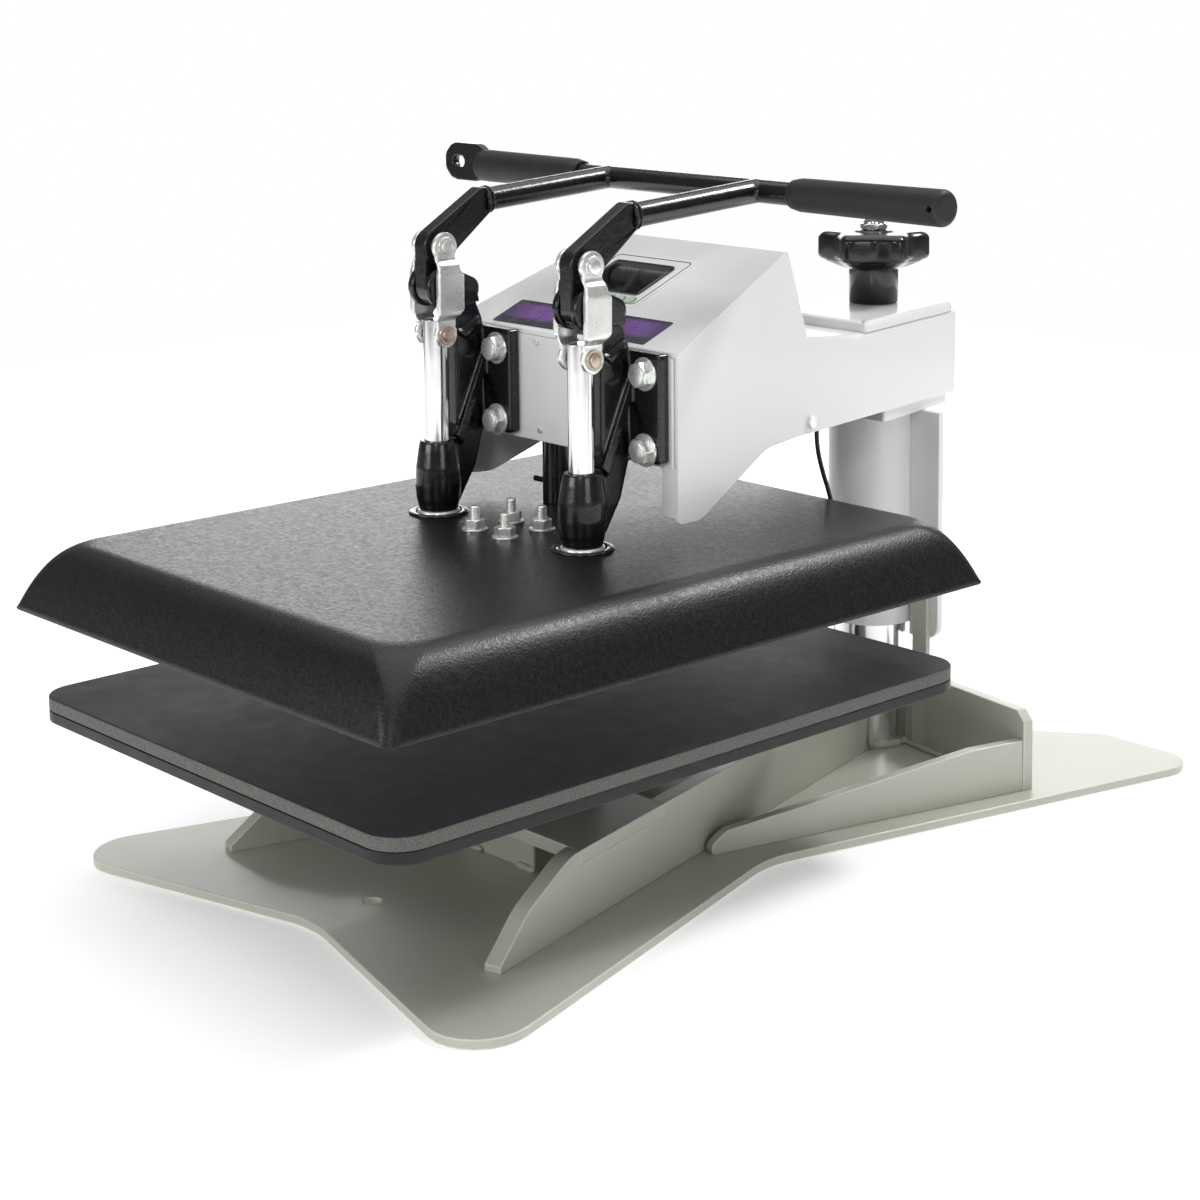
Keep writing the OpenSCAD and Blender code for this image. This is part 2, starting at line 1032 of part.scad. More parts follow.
module cover_layer(d, z, wall) {
    r = 9 + 20.5 * d / cover_shoulder;
    w = platen_w + 2 * (cover_gap - d - wall);
    l = platen_l + 2 * (cover_gap - 1.9 - d - wall);
    translate([0, 0, z])
        linear_extrude(eps)
            polygon(rounded(rectangle(w, l, r)));
}

function cover_rise(share) = cover_h * (1 - pow(1 - share, 2.5));

module cover_form(wall) {
    hull()
        for (share = [0 : 0.1 : 1])
            cover_layer(cover_shoulder * share, cover_z + max(0, cover_rise(share) - wall - eps), wall);
}

module cover_holes() {
    both_sides()
        translate([clamp_x, clamp_y, 200])
            cylinder(h = 100, r = rod_r + 3);
    stud_places()
        translate([0, 0, 200])
            cylinder(h = 100, r = 4.6);
    translate([standpipe.x, standpipe.y, 200])
        cylinder(h = 100, r = 7);
}

module platen_cover() {
    color(gloss_black)
        difference() {
            cover_form(0);
            translate([0, 0, -eps])
                cover_form(cover_wall);
            cover_holes();
        }
}

module heater_platen() {
    color("lightgray")
        translate([0, 0, face_z])
            slab(platen_w, platen_l, platen_r, heater_t);
}

// A tube heater bent into a serpentine, clamped between the platen and the board
element_r = 4;
element_pitch = 60;
element_rows = 6;
module heating_element() {
    span = 320;
    z = heater_top + element_r;
    color("slategray")
        for (i = [0 : element_rows - 1]) {
            y = (i - (element_rows - 1) / 2) * element_pitch;
            side = i % 2 == 0 ? 1 : -1;
            x_rod(-span / 2, span / 2, y, z, element_r);
            if (i < element_rows - 1)
                translate([side * span / 2, y + element_pitch / 2, z])
                    rotate([0, 0, side > 0 ? -90 : 90])
                        rotate_extrude(angle = 180)
                            translate([element_pitch / 2, 0])
                                circle(element_r, $fn = 24);
        }
}

module insulation() {
    low = heater_top + 2 * element_r;
    color("beige")
        difference() {
            translate([0, 0, low])
                slab(360, 450, 20, board_top - low);
            both_sides()
                translate([clamp_x, clamp_y, 200])
                    cylinder(h = 100, r = rod_r + 6);
            stud_places()
                translate([0, 0, 200])
                    cylinder(h = 100, r = 4.2);
        }
}

module stud_places() {
    offset_xy = 16.5;
    for (x = [-1, 1], y = [-1, 1])
        translate([x * offset_xy, clamp_y + y * offset_xy, 0])
            children();
}

module platen_studs() {
    color(zinc)
        stud_places()
            translate([0, 0, heater_top])
                cylinder(h = 258.5 - heater_top, r = 4);
}

module stud_nuts() {
    color(zinc)
        stud_places()
            translate([0, 0, cover_top])
                difference() {
                    union() {
                        cylinder(h = 1.6, r = 9);
                        translate([0, 0, 1.6])
                            hex(13, 6.5);
                    }
                    translate([0, 0, -1])
                        cylinder(h = 20, r = 4);
                }
}

module plungers() {
    color("silver")
        both_sides()
            difference() {
                union() {
                    translate([clamp_x, clamp_y, heater_top])
                        cylinder(h = link_z + 10 - heater_top, r = rod_r);
                    translate([clamp_x, clamp_y, heater_top])
                        cylinder(h = 6, r = rod_r + 5);
                }
                x_rod(clamp_x - 20, clamp_x + 20, clamp_y, link_z, pin_r + run);
            }
}

module plunger_pins() {
    color(zinc)
        both_sides()
            x_rod(clamp_x - rod_r + 0.6, clamp_x + rod_r - 0.6, clamp_y, link_z, pin_r);
}

module plunger_collars() {
    color(soft_black)
        both_sides()
            translate([clamp_x, clamp_y, cover_top])
                difference() {
                    cylinder(h = 1.6, r = 21.5);
                    translate([0, 0, -1])
                        cylinder(h = 4, r = rod_r + 0.4);
                }
}

standpipe = [-44, 84];
module cable_standpipe() {
    color(gloss_black) {
        difference() {
            translate([standpipe.x, standpipe.y, cover_top])
                cylinder(h = 68, r = 10);
            translate([standpipe.x, standpipe.y, cover_top - 1])
                cylinder(h = 80, r = 7);
        }
        x_rod(standpipe.x - 24, standpipe.x - 8.5, standpipe.y, cover_top + 14, 2.2);
    }
}

// Sensor lead: hangs from the arm's underside down to the cover's rear shoulder
lead_r = 1.7;
lead_sides = 8;
lead_route = [
    [74, 236, 291], [74, 236, 285], [74.3, 236.4, 278], [75, 237.4, 270], [76, 239, 262],
    [77, 241, 254], [77.8, 243.6, 246], [78, 246.4, 238], [78, 248.6, 232], [78, 249.7, 229.1]
];

function route_direction(p, i) = unit(p[min(i + 1, len(p) - 1)] - p[max(i - 1, 0)]);
function ring(centre, along) =
    let(u = unit(cross(along, [0, 1, 0])), w = cross(along, u))
    [for (j = [0 : lead_sides - 1])
        centre + lead_r * (u * cos(j * 360 / lead_sides) + w * sin(j * 360 / lead_sides))];

module sensor_lead() {
    n = len(lead_route);
    points = [for (i = [0 : n - 1]) each ring(lead_route[i], route_direction(lead_route, i))];
    sides = [
        for (i = [0 : n - 2], j = [0 : lead_sides - 1])
            let(a = i * lead_sides, b = a + lead_sides, k = (j + 1) % lead_sides)
            [a + j, b + j, b + k, a + k]
    ];
    first = [for (j = [0 : lead_sides - 1]) j];
    last = [for (j = [lead_sides - 1 : -1 : 0]) (n - 1) * lead_sides + j];
    color("black")
        polyhedron(points, concat(sides, [first, last]));
}

// Pressure screw, knob and bearing

module thrust_bearing() {
    color("silver")
        translate([0, post_y, post_top + 3])
            difference() {
                cylinder(h = arm_top - post_top - 3 - 0.2, r = 27);
                translate([0, 0, -1])
                    cylinder(h = 40, r = screw_r + run);
            }
}

module knob_screw() {
    color(zinc)
        translate([0, post_y, 0]) {
            translate([0, 0, 268])
                cylinder(h = knob_head_z + 12 - 268, r = screw_r);
            translate([0, 0, post_top + 0.8])
                cylinder(h = 2, r = 14);
        }
}

function lobed_radius(a) = knob_r - knob_valley / 2 * (1 - cos(knob_lobes * (a - knob_phase)));

module pressure_knob() {
    color(gloss_black)
        translate([0, post_y, 0])
            difference() {
                union() {
                    translate([0, 0, knob_z])
                        cylinder(h = knob_head_z - knob_z + 1, r = neck_r);
                    translate([0, 0, knob_head_z])
                        linear_extrude(knob_head_h)
                            polygon([for (a = [0 : 5 : 355]) lobed_radius(a) * [cos(a), sin(a)]]);
                }
                cylinder(h = knob_head_z + 12, r = screw_r);
            }
}

module dome_nut() {
    color("silver")
        translate([0, post_y, knob_head_z + knob_head_h])
            rotate_extrude()
                polygon(concat(
                    [[0, 0], [11.3, 0], [11.3, 4]],
                    [for (a = [10 : 10 : 90]) [11.3 * cos(a), 4 + 8 * sin(a)]]
                ));
}

base_plate();
side_ribs();
tray_walls();
wing_plates();
cross_plate();
pedestal();
table_riser();
table_bolts();
lower_table();
rubber_pad();
post();
post_nut();
stop_bar();
arm_shell();
front_plate();
sleeve();
post_bushes();
rear_cap();
hub_plate();
stop_tab();
control_overlay();
display_window();
colour_strip();
panel_screws();
head_back_plate();
mains_inlet();
switch_frame();
clamp_left();
clamp_right();
clamp_bolts();
pivot_pins();
controller_board();
sensor_lead();
power_rocker();
button_up();
button_down();
button_set();
thrust_bearing();
pressure_knob();
knob_screw();
dome_nut();
lever_left();
lever_right();
handle_bar();
grip_left();
grip_right();
crank_pins();
links_left();
links_right();
link_rivets();
platen_cover();
heater_platen();
heating_element();
insulation();
platen_studs();
stud_nuts();
plungers();
plunger_pins();
plunger_collars();
cable_standpipe();
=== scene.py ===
import math

import bmesh
import bpy
from mathutils import Matrix, Vector, noise


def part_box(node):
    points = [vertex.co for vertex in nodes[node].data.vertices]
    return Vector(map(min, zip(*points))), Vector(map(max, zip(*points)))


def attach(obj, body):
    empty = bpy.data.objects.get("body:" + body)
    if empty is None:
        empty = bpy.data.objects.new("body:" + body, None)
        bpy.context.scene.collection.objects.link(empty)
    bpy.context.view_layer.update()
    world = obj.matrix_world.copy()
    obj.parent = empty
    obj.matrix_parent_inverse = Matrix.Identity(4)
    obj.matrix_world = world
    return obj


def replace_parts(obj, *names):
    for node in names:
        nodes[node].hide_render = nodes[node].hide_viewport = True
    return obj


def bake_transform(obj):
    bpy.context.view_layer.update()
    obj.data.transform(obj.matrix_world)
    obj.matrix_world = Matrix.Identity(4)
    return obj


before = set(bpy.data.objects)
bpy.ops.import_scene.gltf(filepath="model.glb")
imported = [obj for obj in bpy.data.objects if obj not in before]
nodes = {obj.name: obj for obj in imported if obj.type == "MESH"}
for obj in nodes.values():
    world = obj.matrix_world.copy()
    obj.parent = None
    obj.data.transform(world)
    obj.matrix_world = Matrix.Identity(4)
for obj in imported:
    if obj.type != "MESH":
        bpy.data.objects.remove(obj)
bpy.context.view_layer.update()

MM = 0.001

# ---------------------------------------------------------------- materials


class Graph:
    """A node material that is built a few nodes at a time."""

    def __init__(self, name):
        self.material = bpy.data.materials.new(name)
        self.material.use_nodes = True
        self.tree = self.material.node_tree
        self.tree.nodes.clear()
        self.coords = self.node("ShaderNodeTexCoord").outputs["Object"]
        self.shader = self.node("ShaderNodeBsdfPrincipled")
        output = self.node("ShaderNodeOutputMaterial")
        self.link(self.shader.outputs[0], output.inputs[0])

    def node(self, kind, **settings):
        made = self.tree.nodes.new(kind)
        for key, value in settings.items():
            setattr(made, key, value)
        return made

    def link(self, output, socket):
        self.tree.links.new(output, socket)

    def put(self, socket, value):
        """Sets a socket to a number or colour, or links an output to it."""
        if isinstance(value, bpy.types.NodeSocket):
            self.link(value, socket)
        else:
            socket.default_value = value

    def scaled(self, scale):
        mapping = self.node("ShaderNodeMapping")
        self.link(self.coords, mapping.inputs["Vector"])
        mapping.inputs["Scale"].default_value = scale
        return mapping.outputs[0]

    def noise(self, scale, detail=3.0, roughness=0.5, stretch=None):
        made = self.node("ShaderNodeTexNoise")
        self.link(self.scaled(stretch) if stretch else self.coords, made.inputs["Vector"])
        made.inputs["Scale"].default_value = scale
        made.inputs["Detail"].default_value = detail
        made.inputs["Roughness"].default_value = roughness
        return made.outputs["Fac"]

    def spread(self, value, low, high, to_low, to_high):
        made = self.node("ShaderNodeMapRange")
        self.put(made.inputs["Value"], value)
        for key, number in zip(("From Min", "From Max", "To Min", "To Max"), (low, high, to_low, to_high)):
            made.inputs[key].default_value = number
        return made.outputs[0]

    def mix(self, share, first, second):
        made = self.node("ShaderNodeMix", data_type="RGBA")
        self.put(made.inputs["Factor"], share)
        self.put(made.inputs[6], first)
        self.put(made.inputs[7], second)
        return made.outputs[2]

    def bump(self, height, depth_mm, below=None):
        made = self.node("ShaderNodeBump")
        made.inputs["Strength"].default_value = 1.0
        made.inputs["Distance"].default_value = depth_mm * MM
        self.put(made.inputs["Height"], height)
        if below is not None:
            self.link(below, made.inputs["Normal"])
        return made.outputs[0]

    def raised_edges(self, low, high):
        pointed = self.node("ShaderNodeNewGeometry").outputs["Pointiness"]
        return self.spread(pointed, low, high, 0.0, 1.0)


def rgb(red, green, blue):
    """A colour from sRGB values 0 to 255."""
    def linear(c):
        c /= 255
        return c / 12.92 if c <= 0.04045 else ((c + 0.055) / 1.055) ** 2.4
    return (linear(red), linear(green), linear(blue), 1.0)


def tinted(colour, factor):
    return tuple(min(1.0, c * factor) for c in colour[:3]) + (1.0,)


GLOSS_SCALE = 70.0


def finish_of(
    name, colour, rough, metal=0.0, coat=0.0, tone=0.06, tone_scale=9.0, grain=(), rough_change=0.06,
    edge_wear_and_highlight=None, edge_wear_and_highlight_share=0.5, stretch=None, reflect=0.5
):
    """A finish with soft changes of tone, uneven gloss, its own grain, and raised edges turned lighter:
    partly wear, partly a painted highlight.

    grain is a list of (scale, detail, depth in mm); the colour given for the edges is the lighter tone that
    raised edges turn to, partly wear and partly a painted highlight."""
    g = Graph(name)
    patch = g.noise(tone_scale, 4.0, 0.6, stretch)
    base = g.mix(g.spread(patch, 0.3, 0.7, 0.0, 1.0), tinted(colour, 1 - tone), tinted(colour, 1 + tone))
    if edge_wear_and_highlight:
        # Raised edges turn lighter in patches: partly wear, partly a painted highlight.
        worn_and_highlighted_edges = g.node("ShaderNodeMath", operation="MULTIPLY")
        g.link(g.raised_edges(0.52, 0.60), worn_and_highlighted_edges.inputs[0])
        g.put(worn_and_highlighted_edges.inputs[1], g.spread(g.noise(160.0, 4.0), 0.35, 0.6, 0.0, edge_wear_and_highlight_share))
        base = g.mix(worn_and_highlighted_edges.outputs[0], base, edge_wear_and_highlight)
    g.put(g.shader.inputs["Base Color"], base)
    gloss = g.noise(GLOSS_SCALE, 4.0, 0.6, stretch)
    uneven = g.spread(gloss, 0.25, 0.75, rough - rough_change, rough + rough_change)
    g.put(g.shader.inputs["Roughness"], uneven)
    g.shader.inputs["Metallic"].default_value = metal
    g.shader.inputs["Coat Weight"].default_value = coat
    g.shader.inputs["Coat Roughness"].default_value = 0.06
    g.shader.inputs["Specular IOR Level"].default_value = reflect
    normal = None
    for scale, detail, depth in grain:
        normal = g.bump(g.noise(scale, detail, 0.55, stretch), depth, normal)
    if normal is not None:
        g.link(normal, g.shader.inputs["Normal"])
    return g.material


def powder_black():
    """Black powder coat: a fine wrinkle that breaks up the gloss into sparkle."""
    g = Graph("cover_black")
    wrinkle = g.noise(640.0, 2.0, 0.5)
    patch = g.noise(6.0, 3.0)
    base = g.mix(g.spread(patch, 0.3, 0.7, 0.0, 1.0), rgb(7, 7, 9), rgb(11, 11, 13))
    base = g.mix(g.spread(wrinkle, 0.42, 0.62, 0.0, 0.4), base, rgb(36, 36, 39))
    g.put(g.shader.inputs["Base Color"], base)
    g.put(g.shader.inputs["Roughness"], g.spread(g.noise(300.0, 3.0), 0.3, 0.7, 0.30, 0.42))
    g.shader.inputs["Specular IOR Level"].default_value = 0.42
    normal = g.bump(wrinkle, 0.20)
    normal = g.bump(g.noise(45.0, 2.0), 0.08, normal)
    g.link(normal, g.shader.inputs["Normal"])
    return g.material


def pad_finish():
    """Silicone pad: dark worn face, paler where its cut side shows."""
    g = Graph("pad_rubber")
    facing = g.node("ShaderNodeSeparateXYZ")
    g.link(g.node("ShaderNodeNewGeometry").outputs["Normal"], facing.inputs[0])
    patch = g.noise(7.0, 4.0, 0.6)
    top = g.mix(g.spread(patch, 0.3, 0.7, 0.0, 1.0), rgb(30, 31, 36), rgb(34, 35, 40))
    cells = g.spread(g.noise(900.0, 3.0), 0.35, 0.65, 0.0, 1.0)
    side = g.mix(cells, rgb(74, 73, 70), rgb(100, 98, 95))
    base = g.mix(g.spread(facing.outputs["Z"], 0.55, 0.85, 0.0, 1.0), side, top)
    g.put(g.shader.inputs["Base Color"], base)
    g.put(g.shader.inputs["Roughness"], g.spread(g.noise(70.0, 4.0), 0.3, 0.7, 0.56, 0.62))
    g.shader.inputs["Specular IOR Level"].default_value = 0.35
    normal = g.bump(g.noise(520.0, 4.0), 0.05)
    normal = g.bump(g.noise(1500.0, 2.0), 0.03, normal)
    g.link(normal, g.shader.inputs["Normal"])
    return g.material


def strip_finish():
    """Printed film: violet in the middle, fading to near black bands at the edges."""
    g = Graph("strip_purple")
    split = g.node("ShaderNodeSeparateXYZ")
    g.link(g.coords, split.inputs[0])
    wave = g.node("ShaderNodeTexWave", wave_type="BANDS", bands_direction="X")
    g.link(g.coords, wave.inputs["Vector"])
    wave.inputs["Scale"].default_value = 3.2
    wave.inputs["Distortion"].default_value = 2.0
    shade = g.spread(wave.outputs["Fac"], 0.2, 0.9, 0.0, 1.0)
    base = g.mix(shade, rgb(48, 22, 74), rgb(104, 58, 140))
    low_band = g.spread(split.outputs["Z"], 0.3775, 0.3790, 1.0, 0.0)
    high_band = g.spread(split.outputs["Z"], 0.3850, 0.3862, 0.0, 1.0)
    base = g.mix(low_band, base, rgb(24, 16, 34))
    base = g.mix(high_band, base, rgb(24, 16, 34))
    g.put(g.shader.inputs["Base Color"], base)
    g.put(g.shader.inputs["Roughness"], g.spread(g.noise(80.0), 0.3, 0.7, 0.22, 0.32))
    g.shader.inputs["Coat Weight"].default_value = 0.4
    return g.material


def circuit_finish():
    """Green board with copper tracks seen through the mask."""
    g = Graph("board_green")
    tracks = g.node("ShaderNodeTexBrick")
    g.link(g.coords, tracks.inputs["Vector"])
    tracks.inputs["Scale"].default_value = 60.0
    tracks.inputs["Mortar Size"].default_value = 0.03
    tracks.inputs["Color1"].default_value = rgb(24, 84, 50)
    tracks.inputs["Color2"].default_value = rgb(30, 98, 58)
    tracks.inputs["Mortar"].default_value = rgb(70, 140, 80)
    g.put(g.shader.inputs["Base Color"], tracks.outputs["Color"])
    g.put(g.shader.inputs["Roughness"], g.spread(g.noise(90.0), 0.3, 0.7, 0.35, 0.5))
    return g.material


PAINT = {
    "paint_grey": finish_of(
        "paint_grey", rgb(180, 181, 169), 0.36, coat=0.10, tone=0.02, tone_scale=4.0,
        grain=((420.0, 3.0, 0.03), (30.0, 2.0, 0.05)), rough_change=0.03),
    "paint_white": finish_of(
        "paint_white", rgb(226, 226, 227), 0.30, coat=0.25, tone=0.006, tone_scale=3.0,
        grain=((520.0, 3.0, 0.012), (24.0, 2.0, 0.02)), rough_change=0.015),
    # Its raised edges turn a lighter grey in patches: partly wear, partly a painted highlight.
    "paint_black": finish_of(
        "paint_black", rgb(13, 13, 15), 0.26, coat=0.35, tone=0.12, tone_scale=22.0,
        grain=((330.0, 3.0, 0.16), (90.0, 2.0, 0.22)), rough_change=0.06, edge_wear_and_highlight=rgb(70, 72, 74),
        edge_wear_and_highlight_share=0.3, reflect=0.4),
    "cover_black": powder_black(),
    "chrome": finish_of(
        "chrome", (0.72, 0.72, 0.73, 1.0), 0.13, metal=1.0, tone=0.03, tone_scale=30.0,
        grain=((700.0, 2.0, 0.004),), rough_change=0.04),
    "zinc": finish_of(
        "zinc", (0.84, 0.86, 0.83, 1.0), 0.30, metal=0.75, tone=0.10, tone_scale=60.0,
        grain=((420.0, 3.0, 0.03),), rough_change=0.08),
    # Its raised edges turn lighter grey in patches: partly wear, partly a painted highlight.
    "dark_steel": finish_of(
        "dark_steel", (0.13, 0.13, 0.135, 1.0), 0.38, metal=0.7, tone=0.12, tone_scale=40.0,
        grain=((380.0, 3.0, 0.05),), edge_wear_and_highlight=(0.4, 0.4, 0.4, 1.0)),
    "table_black": finish_of(
        "table_black", rgb(15, 15, 17), 0.42, metal=0.3, tone=0.10, tone_scale=12.0,
        grain=((300.0, 3.0, 0.05),)),
    "aluminium": finish_of(
        "aluminium", (0.74, 0.75, 0.76, 1.0), 0.32, metal=1.0, tone=0.05, tone_scale=3.0,
        grain=((90.0, 4.0, 0.02),), stretch=(1.0, 14.0, 14.0)),
    "pad_rubber": pad_finish(),
    "grip_rubber": finish_of(
        "grip_rubber", rgb(34, 34, 37), 0.55, tone=0.12, tone_scale=25.0,
        grain=((650.0, 3.0, 0.10), (1800.0, 2.0, 0.04)), rough_change=0.08, reflect=0.4),
    "knob_plastic": finish_of(
        "knob_plastic", rgb(12, 12, 14), 0.24, coat=0.3, tone=0.10, tone_scale=20.0,
        grain=((60.0, 2.0, 0.10), (400.0, 2.0, 0.03)), rough_change=0.06),
    "bronze": finish_of(
        "bronze", (0.55, 0.38, 0.18, 1.0), 0.34, metal=1.0, tone=0.12, tone_scale=40.0,
        grain=((300.0, 3.0, 0.03),)),
    "display_black": finish_of(
        "display_black", rgb(14, 16, 19), 0.07, coat=1.0, tone=0.25, tone_scale=30.0,
        grain=((18.0, 1.0, 0.02),), rough_change=0.02),
    "overlay_white": finish_of(
        "overlay_white", rgb(226, 227, 230), 0.34, tone=0.02, tone_scale=9.0,
        grain=((900.0, 2.0, 0.01),), rough_change=0.04),
    "strip_purple": strip_finish(),
    "button_green": finish_of(
        "button_green", rgb(176, 196, 172), 0.42, tone=0.06, tone_scale=120.0,
        grain=((700.0, 2.0, 0.02),)),
    "switch_black": finish_of(
        "switch_black", rgb(20, 20, 21), 0.33, tone=0.10, tone_scale=60.0, grain=((900.0, 2.0, 0.03),)),
    "rocker_red": finish_of(
        "rocker_red", rgb(170, 18, 20), 0.24, coat=0.3, tone=0.08, tone_scale=80.0,
        grain=((600.0, 2.0, 0.02),)),
    "board_green": circuit_finish(),
    "board_mineral": finish_of(
        "board_mineral", rgb(214, 204, 178), 0.85, tone=0.10, tone_scale=30.0,
        grain=((420.0, 5.0, 0.3),)),
    "lead_black": finish_of(
        "lead_black", rgb(18, 18, 19), 0.45, tone=0.12, tone_scale=60.0, grain=((1200.0, 3.0, 0.05),)),
}
# Lighter colours for the bevels of the grey paint and of the black table: painted highlights along the
# edges.
EDGES = {
    "paint_grey": finish_of(
        "paint_grey_edge_highlight", rgb(198, 202, 190), 0.32, coat=0.2, tone=0.05, tone_scale=40.0,
        grain=((260.0, 3.0, 0.05),)),
    "table_black": finish_of(
        "table_edge_highlight", rgb(34, 34, 37), 0.35, metal=0.4, tone=0.12, tone_scale=60.0,
        grain=((300.0, 3.0, 0.04),)),
}

# ---------------------------------------------------------------- mesh helpers

RINGED = 64
SAME_POINT = 2e-6
FLAT = math.radians(0.4)
UP, FRONT, BACK = (0, 0, 1), (0, -1, 0), (0, 1, 0)


class Skin:
    """Vertices and faces of one piece, gathered shape by shape."""

    def __init__(self):
        self.points = []
        self.faces = []

    def rings(self, rings, closed=False, caps=True):
        """Skins between rings of equal count; the end rings are capped unless the loop closes."""
        start = len(self.points)
        count = len(rings[0])
        for ring in rings:
            self.points.extend(Vector(p) for p in ring)
        steps = len(rings) if closed else len(rings) - 1
        for i in range(steps):
            a, b = start + i * count, start + ((i + 1) % len(rings)) * count
            for j in range(count):
                k = (j + 1) % count
                self.faces.append((a + j, a + k, b + k, b + j))
        if caps and not closed:
            last = start + (len(rings) - 1) * count
            self.faces.append(tuple(range(start + count - 1, start - 1, -1)))
            self.faces.append(tuple(range(last, last + count)))
        return self

    def turned(self, at, along, profile, steps=RINGED):
        """A profile of (radius, distance along) turned about an axis."""
        u, w, n = axes_of(along)
        at = Vector(at)
        rings = []
        for radius, t in profile:
            ring = []
            for i in range(steps):
                angle = 2 * math.pi * i / steps
                ring.append(at + n * t + (u * math.cos(angle) + w * math.sin(angle)) * radius)
            rings.append(ring)
        return self.rings(rings)

    def hexagon(self, at, along, across, height, turn=0.0, both=False):
        """A hexagonal head or nut: flat sides, with the corners chamfered to a cone."""
        u, w, n = axes_of(along)
        at = Vector(at)
        flat = across / 2
        steps = 72

        def radius(angle):
            a = (angle + turn) % (math.pi / 3) - math.pi / 6
            return flat / math.cos(a)

        def ring(scale, level, cut=0.0):
            out = []
            for i in range(steps):
                angle = 2 * math.pi * i / steps
                r = radius(angle)
                drop = (r - flat) * 0.58 * cut
                out.append(at + n * (level - drop) + (u * math.cos(angle) + w * math.sin(angle)) * r * scale)
            return out

        def circle(r, level):
            return [
                at + n * level + (u * math.cos(a) + w * math.sin(a)) * r
                for a in (2 * math.pi * i / steps for i in range(steps))
            ]

        foot = [circle(flat * 0.96, 0.0), ring(1.0, flat * 0.04, -1.0)] if both else [ring(1.0, 0.0)]
        return self.rings(foot + [ring(1.0, height - flat * 0.04, 1.0), circle(flat * 0.96, height)])

    def tube(self, path, radius, steps=16, radii=None):
        """A round tube along a path of points, with an optional radius at each point."""
        path = [Vector(p) for p in path]
        rings = []
        u = None
        for i, p in enumerate(path):
            ahead = (path[min(i + 1, len(path) - 1)] - path[max(i - 1, 0)]).normalized()
            if u is None:
                u, w, _ = axes_of(ahead)
            u = (u - ahead * u.dot(ahead)).normalized()
            w = ahead.cross(u)
            r = radii[i] if radii else radius
            rings.append([
                p + (u * math.cos(a) + w * math.sin(a)) * r
                for a in (2 * math.pi * j / steps for j in range(steps))
            ])
        return self.rings(rings)

    def extruded(self, outline, at, u, w, n, thick):
        """A flat outline in the (u, w) plane at a point, made thick along n."""
        at, u, w, n = Vector(at), Vector(u), Vector(w), Vector(n)
        low = [at + u * x + w * y for x, y in outline]
        return self.rings([low, [p + n * thick for p in low]])

    def make(self, name, body, slot, sharp=38.0, bevel=0.0, material=None):
        mesh = bpy.data.meshes.new(name)
        mesh.from_pydata([tuple(p) for p in self.points], [], self.faces)
        bm = bmesh.new()
        bm.from_mesh(mesh)
        bmesh.ops.recalc_face_normals(bm, faces=bm.faces)
        bm.to_mesh(mesh)
        bm.free()
        return placed(name, mesh, body, slot, sharp, bevel, material)


def placed(name, mesh, body, slot, sharp=38.0, bevel=0.0, material=None):
    mesh.shade_smooth()
    if sharp < 180 and not bevel:
        mesh.set_sharp_from_angle(angle=math.radians(sharp))
    piece = bpy.data.objects.new(name, mesh)
    bpy.context.scene.collection.objects.link(piece)
    mesh.materials.clear()
    mesh.materials.append(material or PAINT[slot])
    if bevel:
        soften(piece, bevel)
    if body:
        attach(piece, body)
    return piece


def axes_of(along):
    n = Vector(along).normalized()
    helper = Vector((0, 0, 1)) if abs(n.z) < 0.9 else Vector((1, 0, 0))
    u = helper.cross(n).normalized()
    return u, n.cross(u), n


def soften(piece, width_mm, angle=28.0, segments=3, edge=None):
    """Rounds every sharp edge, lets flat faces shade flat and can paint the rounded edges a lighter colour
    as a painted highlight.
    """
    bevel = piece.modifiers.new("round", "BEVEL")
    # edge is a lighter material for the bevel faces: a painted highlight along every rounded edge.
    if edge:
        piece.data.materials.append(edge)
        bevel.material = 1
    bevel.width = width_mm * MM
    bevel.segments = segments
    bevel.limit_method = "ANGLE"
    bevel.angle_limit = math.radians(angle)
    bevel.use_clamp_overlap = False
    bevel.miter_outer = "MITER_ARC"
    weighted = piece.modifiers.new("shade", "WEIGHTED_NORMAL")
    weighted.keep_sharp = False
    weighted.weight = 80


def plain_copy(node):
    """A CAD node's mesh as a welded bmesh with its flat faces merged."""
    bm = bmesh.new()
    bm.from_mesh(nodes[node].data)
    bmesh.ops.remove_doubles(bm, verts=bm.verts, dist=SAME_POINT)
    bmesh.ops.dissolve_limit(bm, angle_limit=FLAT, verts=bm.verts, edges=bm.edges)
    return bm


def tidy_node(name, slot, bevel_mm=0.6, angle=28.0):
    """Gives a CAD node that stays its finish and softened edges."""
    node = nodes[name]
    data = node.data
    custom = data.attributes.get("custom_normal")
    if custom is not None:
        data.attributes.remove(custom)
    data.shade_smooth()
    data.materials.clear()
    data.materials.append(PAINT[slot])
    weld = node.modifiers.new("weld", "WELD")
    weld.merge_threshold = SAME_POINT
    flat = node.modifiers.new("flat", "DECIMATE")
    flat.decimate_type = "DISSOLVE"
    flat.angle_limit = FLAT
    # Grey paint and the black table get lighter bevel faces: a painted edge highlight.
    soften(node, bevel_mm, angle, edge=EDGES.get(slot))


def finished_mesh(piece):
    """A new mesh of the piece as its modifiers leave it."""
    graph = bpy.context.evaluated_depsgraph_get()
    return bpy.data.meshes.new_from_object(piece.evaluated_get(graph))


